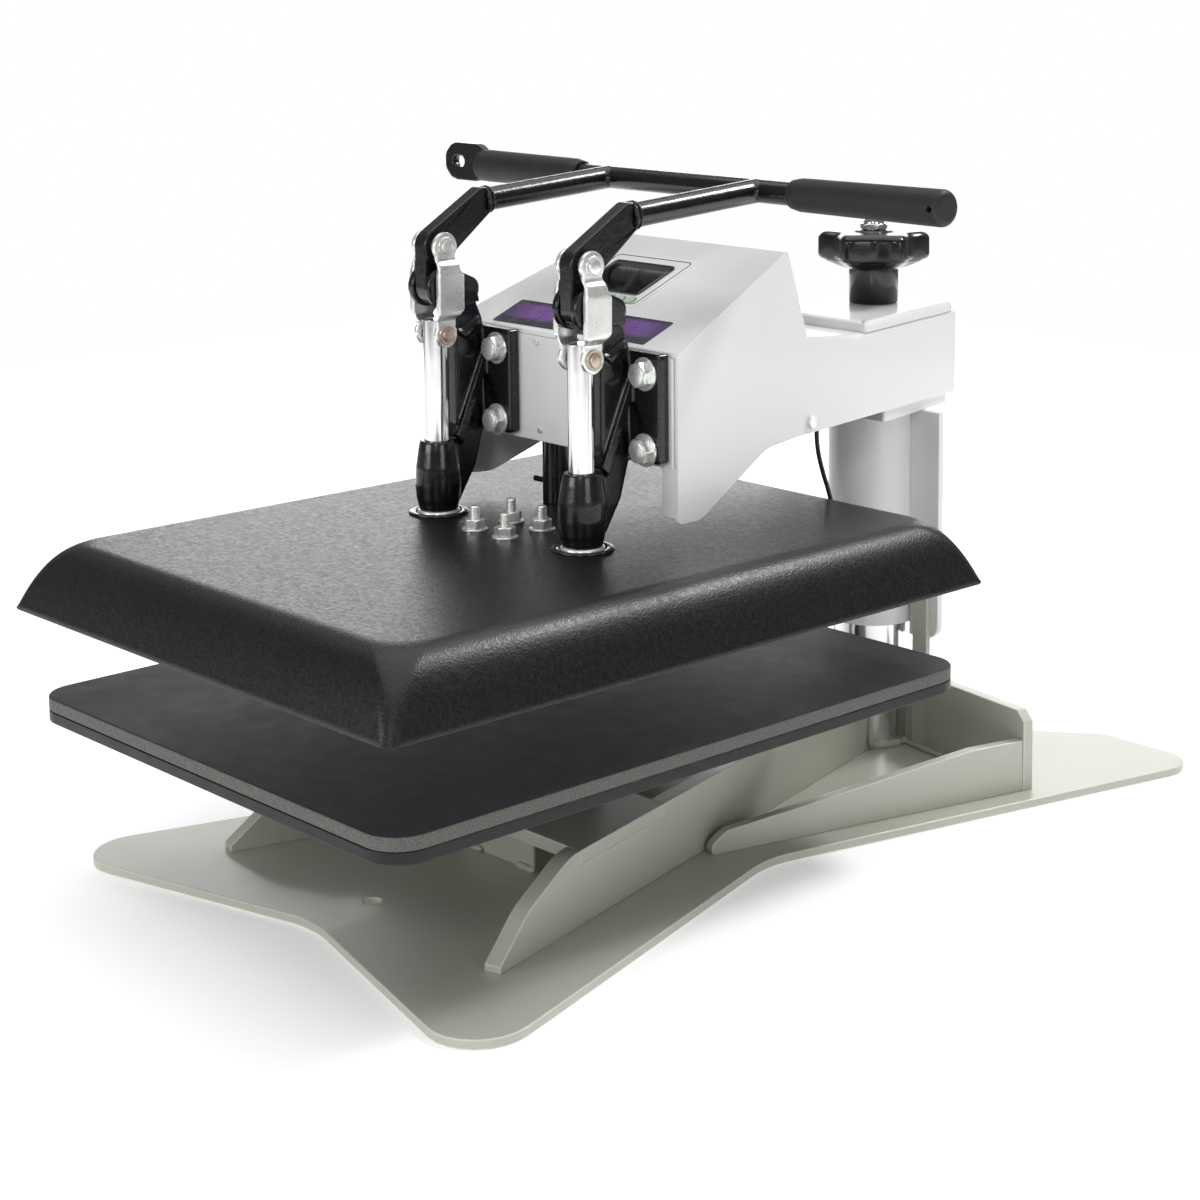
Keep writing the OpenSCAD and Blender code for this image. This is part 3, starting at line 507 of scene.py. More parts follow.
def cast_piece(name, node, body, slot, voxel_mm, rounds, extra=None):
    """A CAD node's shape with extra shapes added, fused into one skin with filleted corners."""
    bm = bmesh.new()
    bm.from_mesh(nodes[node].data)
    bmesh.ops.remove_doubles(bm, verts=bm.verts, dist=SAME_POINT)
    mesh = bpy.data.meshes.new(name)
    if extra:
        add = bpy.data.meshes.new("extra")
        add.from_pydata([tuple(p) for p in extra.points], [], extra.faces)
        more = bmesh.new()
        more.from_mesh(add)
        bmesh.ops.recalc_face_normals(more, faces=more.faces)
        more.to_mesh(add)
        more.free()
        bm.from_mesh(add)
        bpy.data.meshes.remove(add)
    bm.to_mesh(mesh)
    bm.free()
    helper = bpy.data.objects.new("helper", mesh)
    bpy.context.scene.collection.objects.link(helper)
    fused = helper.modifiers.new("fuse", "REMESH")
    fused.mode = "VOXEL"
    fused.voxel_size = voxel_mm * MM
    smooth = helper.modifiers.new("smooth", "SMOOTH")
    smooth.factor = 0.5
    smooth.iterations = rounds
    done = finished_mesh(helper)
    done.name = name
    bpy.data.objects.remove(helper)
    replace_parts(placed(name, done, body, slot, sharp=180.0), node)


def carve(piece, cutter, sharp=50.0):
    """Cuts a skin's shapes out of a piece that rides on nothing yet."""
    knife = cutter.make("knife", "platen", "zinc")
    cut = piece.modifiers.new("holes", "BOOLEAN")
    cut.operation = "DIFFERENCE"
    cut.solver = "EXACT"
    cut.object = knife
    done = finished_mesh(piece)
    done.set_sharp_from_angle(angle=math.radians(sharp))
    piece.modifiers.clear()
    piece.data = done
    bpy.data.objects.remove(knife)


def in_metres(profile):
    """A profile in mm, as metres."""
    return [(a * MM, b * MM) for a, b in profile]


def arc_points(centre, radius, start, end, steps):
    cx, cy = centre
    return [
        (cx + radius * math.cos(math.radians(start + (end - start) * i / steps)),
         cy + radius * math.sin(math.radians(start + (end - start) * i / steps)))
        for i in range(steps + 1)
    ]


def round_box(w, l, r, steps=12):
    """Counter-clockwise outline of a rounded rectangle about the origin."""
    out = []
    for sx, sy, start in ((1, -1, -90), (1, 1, 0), (-1, 1, 90), (-1, -1, 180)):
        out += arc_points((sx * (w / 2 - r), sy * (l / 2 - r)), r, start, start + 90, steps)
    return out


# ---------------------------------------------------------------- facts of the frame

low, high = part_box("platen_cover")
cover_low, cover_top = low.z, high.z
cover_half = Vector((high.x, high.y))
plunger_low, plunger_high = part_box("plungers")
rod_x, rod_y = plunger_high.x - 14 * MM, (plunger_low.y + plunger_high.y) / 2
knob_low, knob_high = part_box("pressure_knob")
post_low, post_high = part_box("post")
post_y = (post_low.y + post_high.y) / 2
pipe_low, pipe_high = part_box("cable_standpipe")
pipe_y = (pipe_low.y + pipe_high.y) / 2
pipe_x = pipe_high.x - 10 * MM
stud_low, stud_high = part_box("platen_studs")
stud_x = stud_high.x - 4 * MM
stud_y = stud_high.y - 4 * MM - rod_y
STUD_PLACES = [(sx * stud_x, rod_y + sy * stud_y) for sx in (-1, 1) for sy in (-1, 1)]

# ---------------------------------------------------------------- platen

SHOULDER = 37.2 * MM
COVER_WALL = 2.0 * MM


def cover_ring(inward, z, wall):
    """One level of the cover, inward from its lower edge; its corners open out as it rises."""
    radius = 9 * MM + 20.5 * MM * inward / SHOULDER
    w = 2 * (cover_half.x - inward - wall)
    l = 2 * (cover_half.y - inward - wall)
    return [(x, y, z) for x, y in round_box(w, l, max(radius, 2 * MM), 14)]


def cover_level(share):
    """The cover's height a share of the way in to the flat top."""
    return (cover_top - cover_low) * (1 - (1 - share) ** 2.5)


def make_cover():
    shell = Skin()
    turns = 36
    shares = [1 - (1 - i / turns) ** 1.35 for i in range(turns + 1)]
    lip = 0.8 * MM
    outside = [cover_ring(SHOULDER * s, cover_low + max(cover_level(s), lip), 0) for s in shares[1:]]
    outside = [cover_ring(0, cover_low + lip, 0)] + outside
    rim = [cover_ring(0.25 * MM, cover_low + 0.2 * MM, 0), cover_ring(lip, cover_low, 0)]
    inside = [
        cover_ring(SHOULDER * s, cover_low + max(cover_level(s) - COVER_WALL, 0.5 * MM), COVER_WALL)
        for s in shares[1:]
    ]
    inside = [cover_ring(0, cover_low, COVER_WALL)] + inside
    shell.rings(list(reversed(outside)) + rim + inside)
    piece = shell.make("cover_moulding", None, "cover_black", sharp=60.0)
    cutter = Skin()
    holes = [(sx * rod_x, rod_y, 12 * MM, RINGED) for sx in (-1, 1)]
    holes += [(x, y, 4.6 * MM, 32) for x, y in STUD_PLACES]
    holes.append((pipe_x, pipe_y, 7 * MM, 40))
    for x, y, radius, steps in holes:
        cutter.turned((x, y, cover_top - 20 * MM), UP, [(radius, 0), (radius, 40 * MM)], steps)
    carve(piece, cutter)
    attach(piece, "platen")
    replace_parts(piece, "platen_cover")


make_cover()


def make_collars():
    """A bright ring round each plunger inside a dark, split collar."""
    bright, dark = Skin(), Skin()
    for sx in (-1, 1):
        foot = Vector((sx * rod_x, rod_y, cover_top))
        ring = [(9.3, 0.2), (15.4, 0.2), (15.4, 1.6), (14.6, 2.5), (12.6, 2.9), (10.4, 2.5), (9.3, 1.4)]
        bright.rings(turned_rings(foot, ring), closed=True)
        plate = [(16.6, 0.0), (21.2, 0.0), (21.5, 0.4), (21.4, 1.1), (20.8, 1.6), (17.1, 1.6), (16.6, 1.2)]
        dark.rings(turned_rings(foot, plate), closed=True)
    bright.make("plunger_rings", "platen", "zinc", sharp=50.0)
    painted = PAINT["paint_black"]
    piece = dark.make("plunger_collar_rings", "platen", "dark_steel", sharp=50.0, material=painted)
    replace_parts(piece, "plunger_collars")


def turned_rings(at, section, steps=RINGED):
    """Rings of a closed section (radius, height) in mm, turned about an upright axis."""
    return [
        [at + Vector((math.cos(a) * r * MM, math.sin(a) * r * MM, z * MM))
         for a in (2 * math.pi * i / steps for i in range(steps))]
        for r, z in section
    ]


make_collars()


def threaded(radius, length, pitch):
    """Profile of a threaded rod as ridges."""
    profile = [(radius * 0.86, 0.0)]
    turns = int(length / pitch)
    for i in range(turns):
        z = i * pitch
        profile += [(radius * 0.86, z + 0.1 * pitch), (radius, z + 0.45 * pitch), (radius, z + 0.55 * pitch),
                    (radius * 0.86, z + 0.9 * pitch)]
    end = turns * pitch
    profile += [(radius * 0.86, end), (radius * 0.7, length)]
    return profile


def make_studs():
    studs, nuts = Skin(), Skin()
    for k, (x, y) in enumerate(STUD_PLACES):
        studs.turned((x, y, stud_low.z), UP, threaded(3.5 * MM, stud_high.z - stud_low.z, 1.25 * MM), 32)
        nuts.turned((x, y, cover_top), UP, in_metres([(8.7, 0), (9, 0.3), (9, 1.3), (8.7, 1.6)]))
        nuts.hexagon((x, y, cover_top + 1.6 * MM), UP, 13 * MM, 6.5 * MM, turn=0.35 * k, both=True)
    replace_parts(studs.make("threaded_studs", "platen", "zinc", sharp=30.0), "platen_studs")
    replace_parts(nuts.make("cover_nuts", "platen", "zinc", sharp=30.0), "stud_nuts")


make_studs()

# ---------------------------------------------------------------- clamps


def clamp_extra(side):
    """The two ribs that the casting carries."""
    skin = Skin()
    x = side * rod_x
    rib = [(13, 296), (19, 290), (42, 345), (42, 360)]
    rim = [(16, 372), (22, 372), (36, 380), (36, 374), (24, 366)]
    for outline, half in ((rib, 9 * MM), (rim, 7.5 * MM)):
        skin.extruded(in_metres(outline), (x - half, 0, 0), BACK, UP, (1, 0, 0), 2 * half)
    return skin


for side, node in ((-1, "clamp_left"), (1, "clamp_right")):
    cast_piece(node + "_casting", node, "arm", "paint_black", 0.9, 5, clamp_extra(side))


def make_clamp_bolts():
    skin = Skin()
    washer_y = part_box("front_plate")[0].y - 9 * MM
    nut_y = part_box("front_plate")[1].y
    for side in (-1, 1):
        for dx in (-21, 21):
            for z in (306.5, 358.5):
                x = side * rod_x + dx * MM
                turn = 0.3 + 0.9 * math.sin(3.1 * dx + z)
                at = (x, washer_y, z * MM)
                skin.turned(at, FRONT, in_metres([(11, 0), (11.5, 0.4), (11.5, 1.5), (11, 2)]))
                skin.hexagon((x, washer_y - 2 * MM, z * MM), FRONT, 16 * MM, 6.5 * MM, turn)
                crown = in_metres([(6.6, -0.2), (6.6, 0.3), (6, 0.5)])
                skin.turned((x, washer_y - 8.5 * MM, z * MM), FRONT, crown, 48)
                skin.turned(at, BACK, threaded(5 * MM, 24 * MM, 1.5 * MM), 32)
                skin.hexagon((x, nut_y, z * MM), BACK, 17 * MM, 7 * MM, turn, both=True)
    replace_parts(skin.make("flange_bolts", "arm", "zinc", sharp=30.0), "clamp_bolts")


make_clamp_bolts()

pin_low, pin_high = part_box("crank_pins")
link_y, crank_z = (pin_low.y + pin_high.y) / 2, (pin_low.z + pin_high.z) / 2
low_pin_z = sum(corner.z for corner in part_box("link_rivets")) / 2


def eased(t):
    t = min(max(t, 0.0), 1.0)
    return t * t * (3 - 2 * t)


def between(z, steps):
    """A value that eases from step to step: steps are (z, value) from the bottom up."""
    for (z0, v0), (z1, v1) in zip(steps, steps[1:]):
        if z <= z1:
            return v0 + (v1 - v0) * eased((z - z0) / (z1 - z0))
    return steps[-1][1]


def strap_rows():
    """(height, front edge, back edge, inner face, outer face) up one pressed strap, in mm.

    The edges are measured from the pins' y and the faces from the plunger's axis."""
    low, high = low_pin_z / MM, crank_z / MM
    low_eye, high_eye, waist = 9.5, 10.4, 8.3
    near, face, row_step = 9.5, 13.4, 0.9
    front = [
        (low + 6.5, -waist), (low + 11.5, -waist), (low + 16, -9.3), (high - 21, -9.3), (high - 15, -waist),
        (high - 7, -waist)
    ]
    back = [
        (low + 6.5, waist), (low + 11.5, waist), (low + 18, 13.2), (high - 22, 13.4), (high - 15.5, 10.5),
        (high - 7, waist + 0.3)
    ]
    inner = [
        (low, near), (low + 8, near), (low + 13.5, 12.7), (high - 13.5, 12.7), (high - 7.5, near),
        (high, near)
    ]
    outer = [
        (low, face), (low + 9.5, face), (low + 15, 17.6), (high - 19.5, 17.6), (high - 14, 16.4),
        (high - 8.5, face), (high, face)
    ]
    rows = []
    for k in range(9):
        angle = math.radians(-80 + 14.2 * k)
        half = low_eye * math.cos(angle)
        z = low + low_eye * math.sin(angle)
        rows.append((z, -half, half, near, between(z, outer)))
    z = rows[-1][0] + row_step
    while z < high - 6.6:
        rows.append((z, between(z, front), between(z, back), between(z, inner), between(z, outer)))
        z += row_step
    for k in range(11):
        angle = math.radians(-35 + 11.5 * k)
        half = high_eye * math.cos(angle)
        z = high + high_eye * math.sin(angle)
        rows.append((z, -half, half, between(z, inner), between(z, outer)))
    return rows


def strap_ring(row, centre_x, side):
    """A rounded section of the strap at one height."""
    z, front, back, inner, outer = row
    w, t = back - front, outer - inner
    r = min(1.3, w * 0.4, t * 0.45)
    mid_x, mid_y = (inner + outer) / 2, (front + back) / 2
    points = [
        Vector((centre_x + side * (mid_x + x) * MM, link_y + (mid_y + y) * MM, z * MM))
        for x, y in round_box(t, w, r, 4)
    ]
    return points if side > 0 else points[::-1]


def make_links(node, clamp_side):
    centre = clamp_side * rod_x
    straps, holes = Skin(), Skin()
    rows = strap_rows()
    for side in (-1, 1):
        straps.rings([strap_ring(row, centre, side) for row in rows])
        for z in (crank_z, low_pin_z):
            start = centre + side * 8 * MM
            holes.turned((start, link_y, z), (side, 0, 0), [(5.1 * MM, 0), (5.1 * MM, 12 * MM)], 48)
    piece = straps.make(node + "_straps", None, "zinc", sharp=50.0)
    carve(piece, holes, sharp=44.0)
    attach(piece, "links")
    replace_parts(piece, node)


def pin_end(skin, x, z, out, start):
    """The end of a linkage pin: a domed shaft, a groove and a snap ring with a gap."""
    at = (x, link_y, z)
    shaft = [
        (4.95, start), (4.95, 14.6), (4.3, 14.7), (4.3, 15.0), (4.9, 15.1), (4.7, 15.9), (3.6, 16.3),
        (1.5, 16.45)
    ]
    skin.turned(at, (out, 0, 0), in_metres(shaft), 48)
    section = [(5.15, 13.6), (6.9, 13.6), (7.2, 13.9), (7.2, 14.4), (6.9, 14.7), (5.15, 14.7)]
    rings = []
    for i in range(45):
        a = math.radians(20 + 320 * i / 44)
        rings.append([
            Vector((x + out * t * MM, link_y + math.cos(a) * r * MM, z + math.sin(a) * r * MM))
            for r, t in section
        ])
    skin.rings(rings)


def make_pins():
    upper, lower = Skin(), Skin()
    for clamp_side in (-1, 1):
        for out in (-1, 1):
            pin_end(upper, clamp_side * rod_x, crank_z, out, 0.0)
            pin_end(lower, clamp_side * rod_x, low_pin_z, out, 9.6)
    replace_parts(upper.make("crank_pin_ends", "handle", "zinc", sharp=40.0), "crank_pins")
    aged = finish_of(
        "aged_pin", (0.60, 0.50, 0.42, 1.0), 0.36, metal=0.85, tone=0.2, tone_scale=200.0,
        grain=((600.0, 3.0, 0.05),))
    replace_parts(lower.make("link_pin_ends", "links", "zinc", sharp=40.0, material=aged), "link_rivets")


make_links("links_left", -1)
make_links("links_right", 1)
make_pins()

# ---------------------------------------------------------------- knob


def make_knob():
    steps = 180
    lobes, peak = 6, 42.0
    outer, valley, neck = 44 * MM, 9 * MM, 19.5 * MM
    foot, top = knob_low.z, knob_high.z

    def ring(z, base, share, cut=0.0):
        """A ring between a round of radius base and the lobed outline less cut."""
        out = []
        for i in range(steps):
            a = 2 * math.pi * i / steps
            wave = 0.5 - 0.5 * math.cos(lobes * (a - math.radians(peak)))
            lobed = outer - valley * wave ** 0.8 - cut
            r = base + (lobed - base) * share
            out.append((math.cos(a) * r, post_y + math.sin(a) * r, z))
        return out

    rings = [ring(foot, neck * 0.97, 0), ring(foot + 0.6 * MM, neck, 0), ring(foot + 27 * MM, neck, 0)]
    for k in range(7):
        t = k / 6
        rings.append(ring(foot + (27 + 7.5 * t ** 1.6) * MM, neck, 0.06 + 0.80 * t ** 1.1, 0))
    for k in range(1, 7):
        angle = math.radians(-90 + 15 * k)
        level = foot + (38.5 + 4 * math.sin(angle)) * MM
        rings.append(ring(level, neck, 1.0, (4 - 4 * math.cos(angle)) * MM))
    crown = top - 7 * MM
    for k in range(0, 8):
        angle = math.radians(90 * k / 7)
        rings.append(ring(crown + 6 * MM * math.sin(angle), neck, 1.0, 8 * (1 - math.cos(angle)) * MM))
    rings.append(ring(top - 1.2 * MM, 24 * MM, 0.0))
    rings.append(ring(top - 1.0 * MM, 17 * MM, 0.0))
    rings.append(ring(top - 0.2 * MM, 15.5 * MM, 0.0))
    rings.append(ring(top, 14.8 * MM, 0.0))
    skin = Skin().rings(rings)
    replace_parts(skin.make("knob_grip", "knob", "knob_plastic", sharp=60.0), "pressure_knob")
    nut = Skin()
    nut.hexagon((0, post_y, top), UP, 19 * MM, 5.2 * MM, both=True)
    dome = [(7.6 * MM, 5.2 * MM)] + [
        (8.4 * MM * math.cos(math.radians(a)), (5.4 + 6.5 * math.sin(math.radians(a))) * MM)
        for a in range(0, 90, 9)
    ]
    nut.turned((0, post_y, top), UP, dome, 48)
    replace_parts(nut.make("knob_acorn_nut", "knob", "chrome", sharp=40.0), "dome_nut")


make_knob()

# ---------------------------------------------------------------- arm


def make_arm():
    """The arm's sheet with its outside folds rounded."""
    bm = plain_copy("arm_shell")
    folds = []
    for edge in bm.edges:
        if len(edge.link_faces) != 2:
            continue
        first, second = (f.normal for f in edge.link_faces)
        sideways = [n for n in (first, second) if abs(n.x) > 0.9]
        upright = [n for n in (first, second) if abs(n.x) < 0.3 and (n.z > 0.25 or n.y > 0.6)]
        if len(sideways) != 1 or len(upright) != 1 or edge.calc_face_angle_signed(0) <= 0:
            continue
        middle = (edge.verts[0].co + edge.verts[1].co) / 2
        if sideways[0].x * middle.x > 0 and middle.z > 330 * MM and edge.calc_length() > 4 * MM:
            folds.append(edge)
    bmesh.ops.bevel(
        bm, geom=folds, offset=3.8 * MM, offset_type="OFFSET", segments=5, profile=0.5, affect="EDGES",
        clamp_overlap=False, miter_outer="SHARP", miter_inner="SHARP", loop_slide=True)
    mesh = bpy.data.meshes.new("arm_cover_sheet")
    bm.to_mesh(mesh)
    bm.free()
    piece = placed("arm_cover_sheet", mesh, "arm", "paint_white", bevel=0.45)
    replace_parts(piece, "arm_shell")


make_arm()


def make_rear_cap():
    """The tail's cap with its top edge rolled over."""
    bm = plain_copy("rear_cap")
    top = max(v.co.z for v in bm.verts)
    rolled = []
    for edge in bm.edges:
        middle = (edge.verts[0].co + edge.verts[1].co) / 2
        level = all(abs(v.co.z - top) < 0.05 * MM for v in edge.verts)
        corner = len(edge.link_faces) == 2 and edge.calc_face_angle(0) > 1
        outside = (middle.xy - Vector((0, post_y))).length > 12 * MM
        if level and corner and outside:
            rolled.append(edge)
    bmesh.ops.bevel(
        bm, geom=rolled, offset=5.0 * MM, offset_type="OFFSET", segments=7, profile=0.5, affect="EDGES",
        clamp_overlap=False)
    mesh = bpy.data.meshes.new("tail_cap")
    bm.to_mesh(mesh)
    bm.free()
    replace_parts(placed("tail_cap", mesh, "arm", "paint_white", bevel=0.3), "rear_cap")


make_rear_cap()

PANEL_ANGLE = math.radians(22.463)
PANEL_FOOT = Vector((0, 51.5, 373)) * MM
KEY_ROW, BOARD_FACE = 53.6, -22.0
ACROSS = Vector((1, 0, 0))
UP_SLOPE = Vector((0, math.cos(PANEL_ANGLE), math.sin(PANEL_ANGLE)))
OFF_PANEL = Vector((0, -math.sin(PANEL_ANGLE), math.cos(PANEL_ANGLE)))


def on_panel(x, y, z):
    """A point from panel coordinates in mm."""
    return PANEL_FOOT + (ACROSS * x + UP_SLOPE * y + OFF_PANEL * z) * MM


def panel_frame(skin, centre, outer, width, radius, low, high, edge=0.2):
    """A rounded rectangular frame that lies on the panel."""
    cx, cy = centre
    w, l = outer
    section = (
        (0, low), (0, high - edge), (edge, high), (width - edge, high), (width, high - edge), (width, low)
    )
    loops = []
    for inward, level in section:
        loops.append([
            on_panel(cx + x, cy + y, level)
            for x, y in round_box(w - 2 * inward, l - 2 * inward, max(radius - inward, 0.4), 8)
        ])
    skin.rings(loops, closed=True)


def make_panel_details():
    """The overlay's border line, the display's bezel, the keys' rings and the parts on the board."""
    line = Skin()
    panel_frame(line, (-13, 81.2), (80, 64), 0.9, 4.2, 0.6, 0.72, 0.03)
    line.make("overlay_border", "arm", "display_black", sharp=40.0, material=PAINT["switch_black"])
    bezel = Skin()
    panel_frame(bezel, (-12.5, 82.3), (63, 42), 2.6, 3.2, 0.6, 2.5, 0.5)
    bezel.make("display_bezel", "arm", "display_black", sharp=40.0)
    keys = Skin()
    for x in (-3, 8, 19):
        loops = [
            [on_panel(x + math.cos(a) * r, KEY_ROW + math.sin(a) * r, z)
             for a in (math.tau * i / 48 for i in range(48))]
            for r, z in ((4.5, 0.6), (5.3, 0.6), (5.3, 0.75), (5.1, 0.82), (4.7, 0.82), (4.5, 0.75))
        ]
        keys.rings(loops, closed=True)
    keys.make("key_rings", "arm", "button_green", sharp=40.0)
    parts = Skin()
    chips = [
        (-52, 48, 12, 10, 4), (-34, 52, 8, 14, 3), (-14, 46, 16, 12, 7), (12, 50, 20, 8, 9),
        (32, 60, 9, 22, 6), (-50, 80, 14, 18, 5), (-24, 84, 10, 10, 8), (2, 84, 22, 14, 4),
        (-40, 104, 30, 8, 10), (14, 104, 30, 8, 10)
    ]
    for x, y, w, l, h in chips:
        box = [on_panel(x + px, y + py, BOARD_FACE) for px, py in round_box(w, l, 0.8, 3)]
        parts.rings([box, [p - OFF_PANEL * h * MM for p in box]])
    parts.make("board_parts", "arm", "board_green", sharp=30.0, material=PAINT["switch_black"])


make_panel_details()


LEAD_RADIUS = 1.7 * MM


def make_lead():
    """The sensor lead: a smooth tube between its two glands."""
    anchors = [
        (74, 236, 291), (74, 236, 285), (74.3, 236.4, 278), (75, 237.4, 270), (76, 239, 262),
        (77, 241, 254), (77.8, 243.6, 246), (78, 246.4, 238), (78, 248.6, 232), (78, 249.6, 228.8)
    ]
    points = [Vector(p) * MM for p in anchors]
    route = []
    for i in range(len(points) - 1):
        before, p = points[max(i - 1, 0)], points[i]
        q, after = points[i + 1], points[min(i + 2, len(points) - 1)]
        for k in range(6):
            t = k / 6
            route.append(0.5 * (2 * p + (q - before) * t + (2 * before - 5 * p + 4 * q - after) * t ** 2
                                + (3 * p - before - 3 * q + after) * t ** 3))
    route.append(points[-1])
    lead = Skin().tube(route, LEAD_RADIUS, 20)
    piece = lead.make("sensor_lead_tube", None, "lead_black", sharp=60.0)
    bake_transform(piece)
    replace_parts(piece, "sensor_lead")


make_lead()

# ---------------------------------------------------------------- CAD nodes that stay

STAYING = {
    "paint_grey": (("base_plate", 0.9), ("side_ribs", 0.9), ("tray_walls", 0.9), ("wing_plates", 0.9),
                   ("cross_plate", 0.8), ("pedestal", 0.8), ("stop_bar", 0.6)),
    "paint_white": (("front_plate", 0.7), ("sleeve", 0.5), ("hub_plate", 1.0), ("stop_tab", 0.7)),
    "table_black": (("lower_table", 0.9), ("table_riser", 0.8)),
    "pad_rubber": (("rubber_pad", 1.3),),
    "chrome": (("post", 0.6), ("plungers", 0.5)),
    "bronze": (("post_bushes", 0.4), ("post_nut", 0.5)),
    "zinc": (("table_bolts", 0.4), ("panel_screws", 0.4), ("pivot_pins", 0.5), ("knob_screw", 0.5),
             ("plunger_pins", 0.4)),
    "overlay_white": (("control_overlay", 0.15),),
    "display_black": (("display_window", 0.4),),
    "strip_purple": (("colour_strip", 0.12),),
    "paint_black": (("head_back_plate", 0.4), ("lever_left", 1.3), ("lever_right", 1.3),
                    ("cable_standpipe", 0.6)),
    "switch_black": (("mains_inlet", 0.5), ("switch_frame", 0.5)),
    "rocker_red": (("power_rocker", 0.5),),
    "button_green": (("button_up", 0.6), ("button_down", 0.6), ("button_set", 0.6)),
    "dark_steel": (("thrust_bearing", 0.5), ("heating_element", 0.3)),
    "board_green": (("controller_board", 0.2),),
    "board_mineral": (("insulation", 1.0),),
    "aluminium": (("heater_platen", 1.0),),
    "grip_rubber": (("grip_left", 0.4), ("grip_right", 0.4)),
}
for slot_name, members in STAYING.items():
    for member, width in members:
        tidy_node(member, slot_name, width)

cast_piece("handle_bar_tube", "handle_bar", "handle", "paint_black", 1.1, 4)


def weld_bead(skin, points, radius, pitch=3.2):
    """A rippled bead along a line of points, thinning at its ends."""
    points = [Vector(p) * MM for p in points]
    path, travelled = [], []
    total = sum((b - a).length for a, b in zip(points, points[1:]))
    run = 0.0
    for a, b in zip(points, points[1:]):
        steps = max(2, int((b - a).length / (0.8 * MM)))
        for i in range(steps):
            path.append(a.lerp(b, i / steps))
            travelled.append(run + (b - a).length * i / steps)
        run += (b - a).length
    path.append(points[-1])
    travelled.append(total)
    radii = []
    for p, s in zip(path, travelled):
        ripple = 0.86 + 0.14 * abs(math.sin(math.pi * s / (pitch * MM)))
        wander = 1 + 0.22 * noise.noise(p * 90)
        ends = min(1.0, 0.25 + s / (4 * MM), 0.25 + (total - s) / (4 * MM))
        radii.append(radius * MM * ripple * wander * ends)
    skin.tube(path, radius, 12, radii)


def make_welds():
    """The beads at the post's foot, along the base's plates and where the lever tubes start."""
    frame_welds = Skin()
    py = post_y / MM
    turns = (math.tau * i / 40 for i in range(41))
    ring = [(33.2 * math.cos(a), py + 33.2 * math.sin(a), 8.2) for a in turns]
    weld_bead(frame_welds, ring, 3.6)
    for side in (-1, 1):
        weld_bead(frame_welds, [(side * 33.6, 392, 9), (side * 33.2, 392, 62)], 2.6)
        weld_bead(frame_welds, [(side * 27, 350, 9), (side * 23.5, 352.5, 54)], 2.6)
        weld_bead(frame_welds, [(side * 40, -11, 8), (side * 18, -11, 8)], 2.6)
        weld_bead(frame_welds, [(side * 39, -11, 8), (side * 39, -11, 47)], 2.0)
        weld_bead(frame_welds, [(side * 92, 104, 8), (side * 86, 126, 8)], 2.4)
        weld_bead(frame_welds, [(side * 34, 383.6, 8), (side * 80, 376, 8)], 2.4)
    frame_welds.make("frame_welds", "base", "paint_grey", sharp=70.0)
    lever_welds = Skin()
    start = Vector((0, 46, 463.2))
    end = Vector((0, bar_y / MM, bar_z / MM))
    along = (end - start).normalized()
    u, w, _ = axes_of(along)
    for side in (-1, 1):
        for t, r in ((1.2, 9.0), (4.4, 9.0)):
            middle = Vector((side * rod_x / MM, 0, 0)) + start + along * t
            turns = (math.tau * i / 36 for i in range(37))
            hoop = [middle + (u * math.cos(a) + w * math.sin(a)) * r for a in turns]
            weld_bead(lever_welds, hoop, 1.3, 2.6)
    lever_welds.make("lever_welds", "handle", "paint_black", sharp=70.0)


bar_low, bar_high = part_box("grip_right")
bar_y, bar_z = (bar_low.y + bar_high.y) / 2, (bar_low.z + bar_high.z) / 2
make_welds()

# ---------------------------------------------------------------- floor, light, camera


def make_floor():
    g = Graph("studio_floor")
    patch = g.spread(g.noise(1.2, 3.0), 0.3, 0.7, 0.0, 1.0)
    shade = g.mix(patch, (0.93, 0.93, 0.93, 1.0), (0.95, 0.95, 0.95, 1.0))
    g.put(g.shader.inputs["Base Color"], shade)
    g.shader.inputs["Roughness"].default_value = 0.7
    g.shader.inputs["Specular IOR Level"].default_value = 0.2
    g.shader.inputs["Emission Color"].default_value = (1.0, 1.0, 1.0, 1.0)
    g.shader.inputs["Emission Strength"].default_value = 0.28
    size = 2.2
    mesh = bpy.data.meshes.new("floor")
    corners = [(-size, -size, 0), (size, -size, 0), (size, size, 0), (-size, size, 0)]
    mesh.from_pydata(corners, [], [(0, 1, 2, 3)])
    mesh.materials.append(g.material)
    floor = bpy.data.objects.new("floor", mesh)
    floor.location.z = -0.3 * MM
    bpy.context.scene.collection.objects.link(floor)


make_floor()


def area_light(name, at, towards, size, power):
    data = bpy.data.lights.new(name, "AREA")
    data.energy = power
    data.shape = "RECTANGLE"
    data.size, data.size_y = size
    lamp = bpy.data.objects.new(name, data)
    lamp.location = at
    lamp.rotation_euler = (Vector(towards) - Vector(at)).to_track_quat("-Z", "Y").to_euler()
    bpy.context.scene.collection.objects.link(lamp)


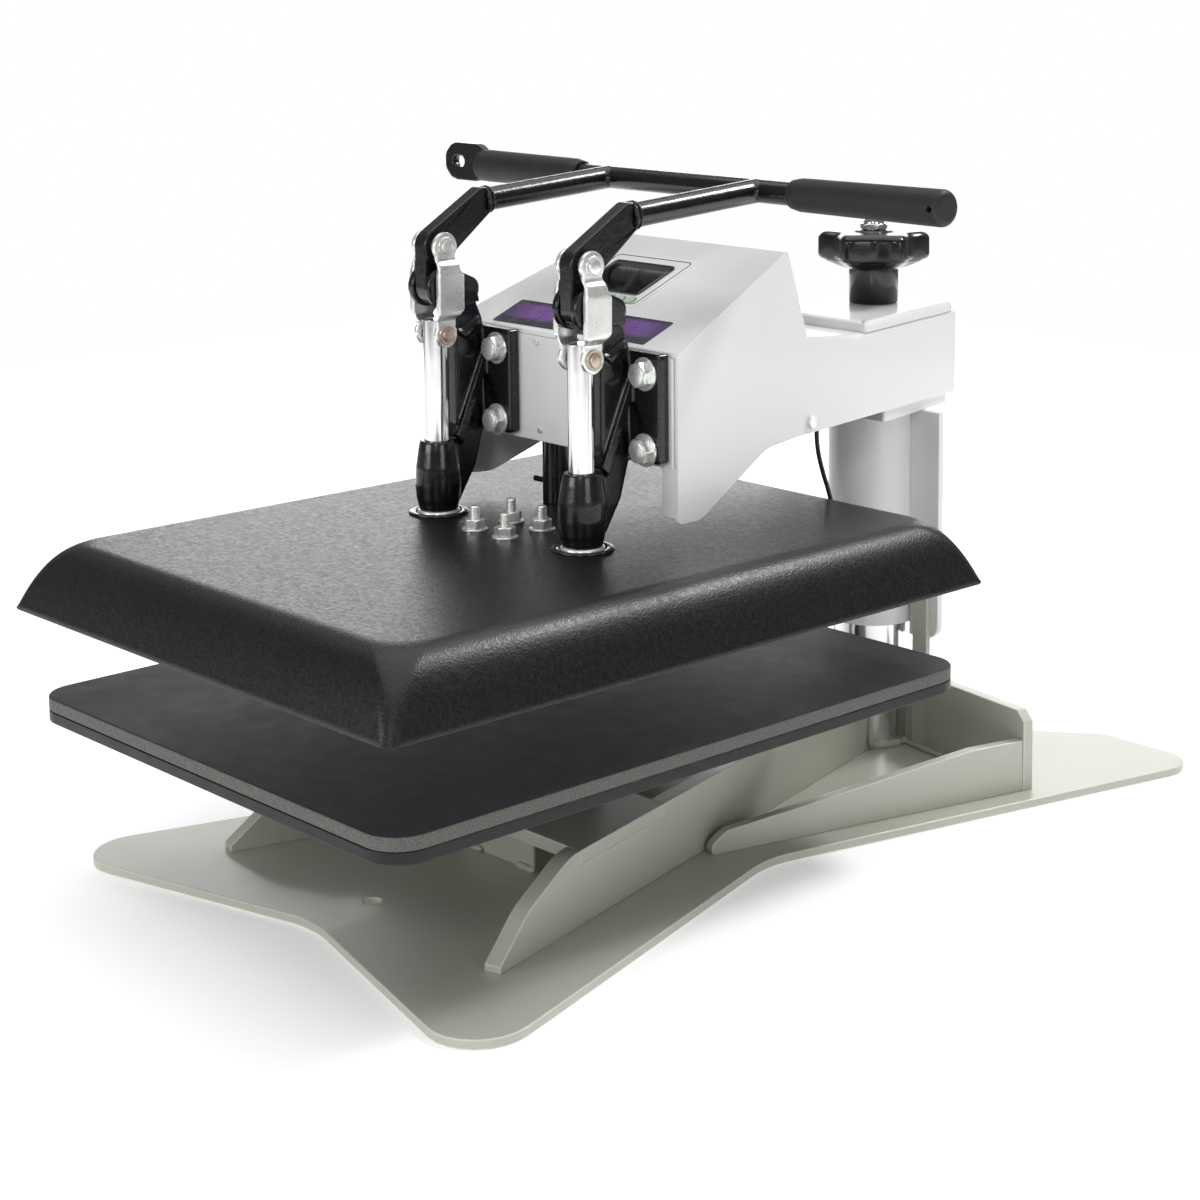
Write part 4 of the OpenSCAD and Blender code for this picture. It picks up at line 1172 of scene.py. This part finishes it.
MIDDLE = (0.0, 0.1, 0.22)
area_light("front_low", (-0.5, -2.8, 0.9), MIDDLE, (1.5, 0.9), 26.0)
area_light("right", (2.9, -0.5, 0.9), MIDDLE, (1.2, 0.9), 12.0)
area_light("back_left", (-2.3, 2.3, 0.95), (0.0, 0.0, 0.24), (2.6, 1.1), 26.0)
area_light("back_right", (0.7, 2.0, 2.5), (0.1, 0.0, 0.24), (0.8, 0.5), 44.0)
area_light("corner", (1.3, -1.6, 1.2), (0.1, -0.2, 0.22), (0.35, 0.35), 7.0)

sun = bpy.data.lights.new("ceiling", "SUN")
sun.energy = 1.7
sun.angle = math.radians(80)
ceiling = bpy.data.objects.new("ceiling", sun)
ceiling.rotation_euler = (math.radians(-6), math.radians(-6), 0)
bpy.context.scene.collection.objects.link(ceiling)

ROOM_LEVEL, BACKDROP_LEVEL = 0.20, 1.0
world = bpy.data.worlds.new("studio")
bpy.context.scene.world = world
world.use_nodes = True
tree = world.node_tree
background = tree.nodes["Background"]
rays = tree.nodes.new("ShaderNodeLightPath")
level = tree.nodes.new("ShaderNodeMapRange")
level.inputs["To Min"].default_value = ROOM_LEVEL
level.inputs["To Max"].default_value = BACKDROP_LEVEL
tree.links.new(rays.outputs["Is Camera Ray"], level.inputs["Value"])
tree.links.new(level.outputs[0], background.inputs["Strength"])
background.inputs["Color"].default_value = (1.0, 1.0, 1.0, 1.0)

view = bpy.context.scene.view_settings
view.view_transform = "Standard"
view.look = "None"
view.exposure = 0.0

EYE = (1.2899, -1.0560, 0.6392)
HEADING, FALL, ROLL = 0.8041, 0.13075, -0.0038
LENS_MM, SHIFT = 73.28, (-0.0819, -0.2719)
camera = bpy.data.cameras.new("camera")
camera.lens = LENS_MM
camera.sensor_width = 36.0
camera.shift_x, camera.shift_y = SHIFT
camera.clip_start, camera.clip_end = 0.05, 60.0
eye = bpy.data.objects.new("camera", camera)
eye.matrix_world = (
    Matrix.Translation(EYE)
    @ Matrix.Rotation(HEADING, 4, "Z")
    @ Matrix.Rotation(math.pi / 2 - FALL, 4, "X")
    @ Matrix.Rotation(ROLL, 4, "Z")
)
bpy.context.scene.collection.objects.link(eye)
bpy.context.scene.camera = eye
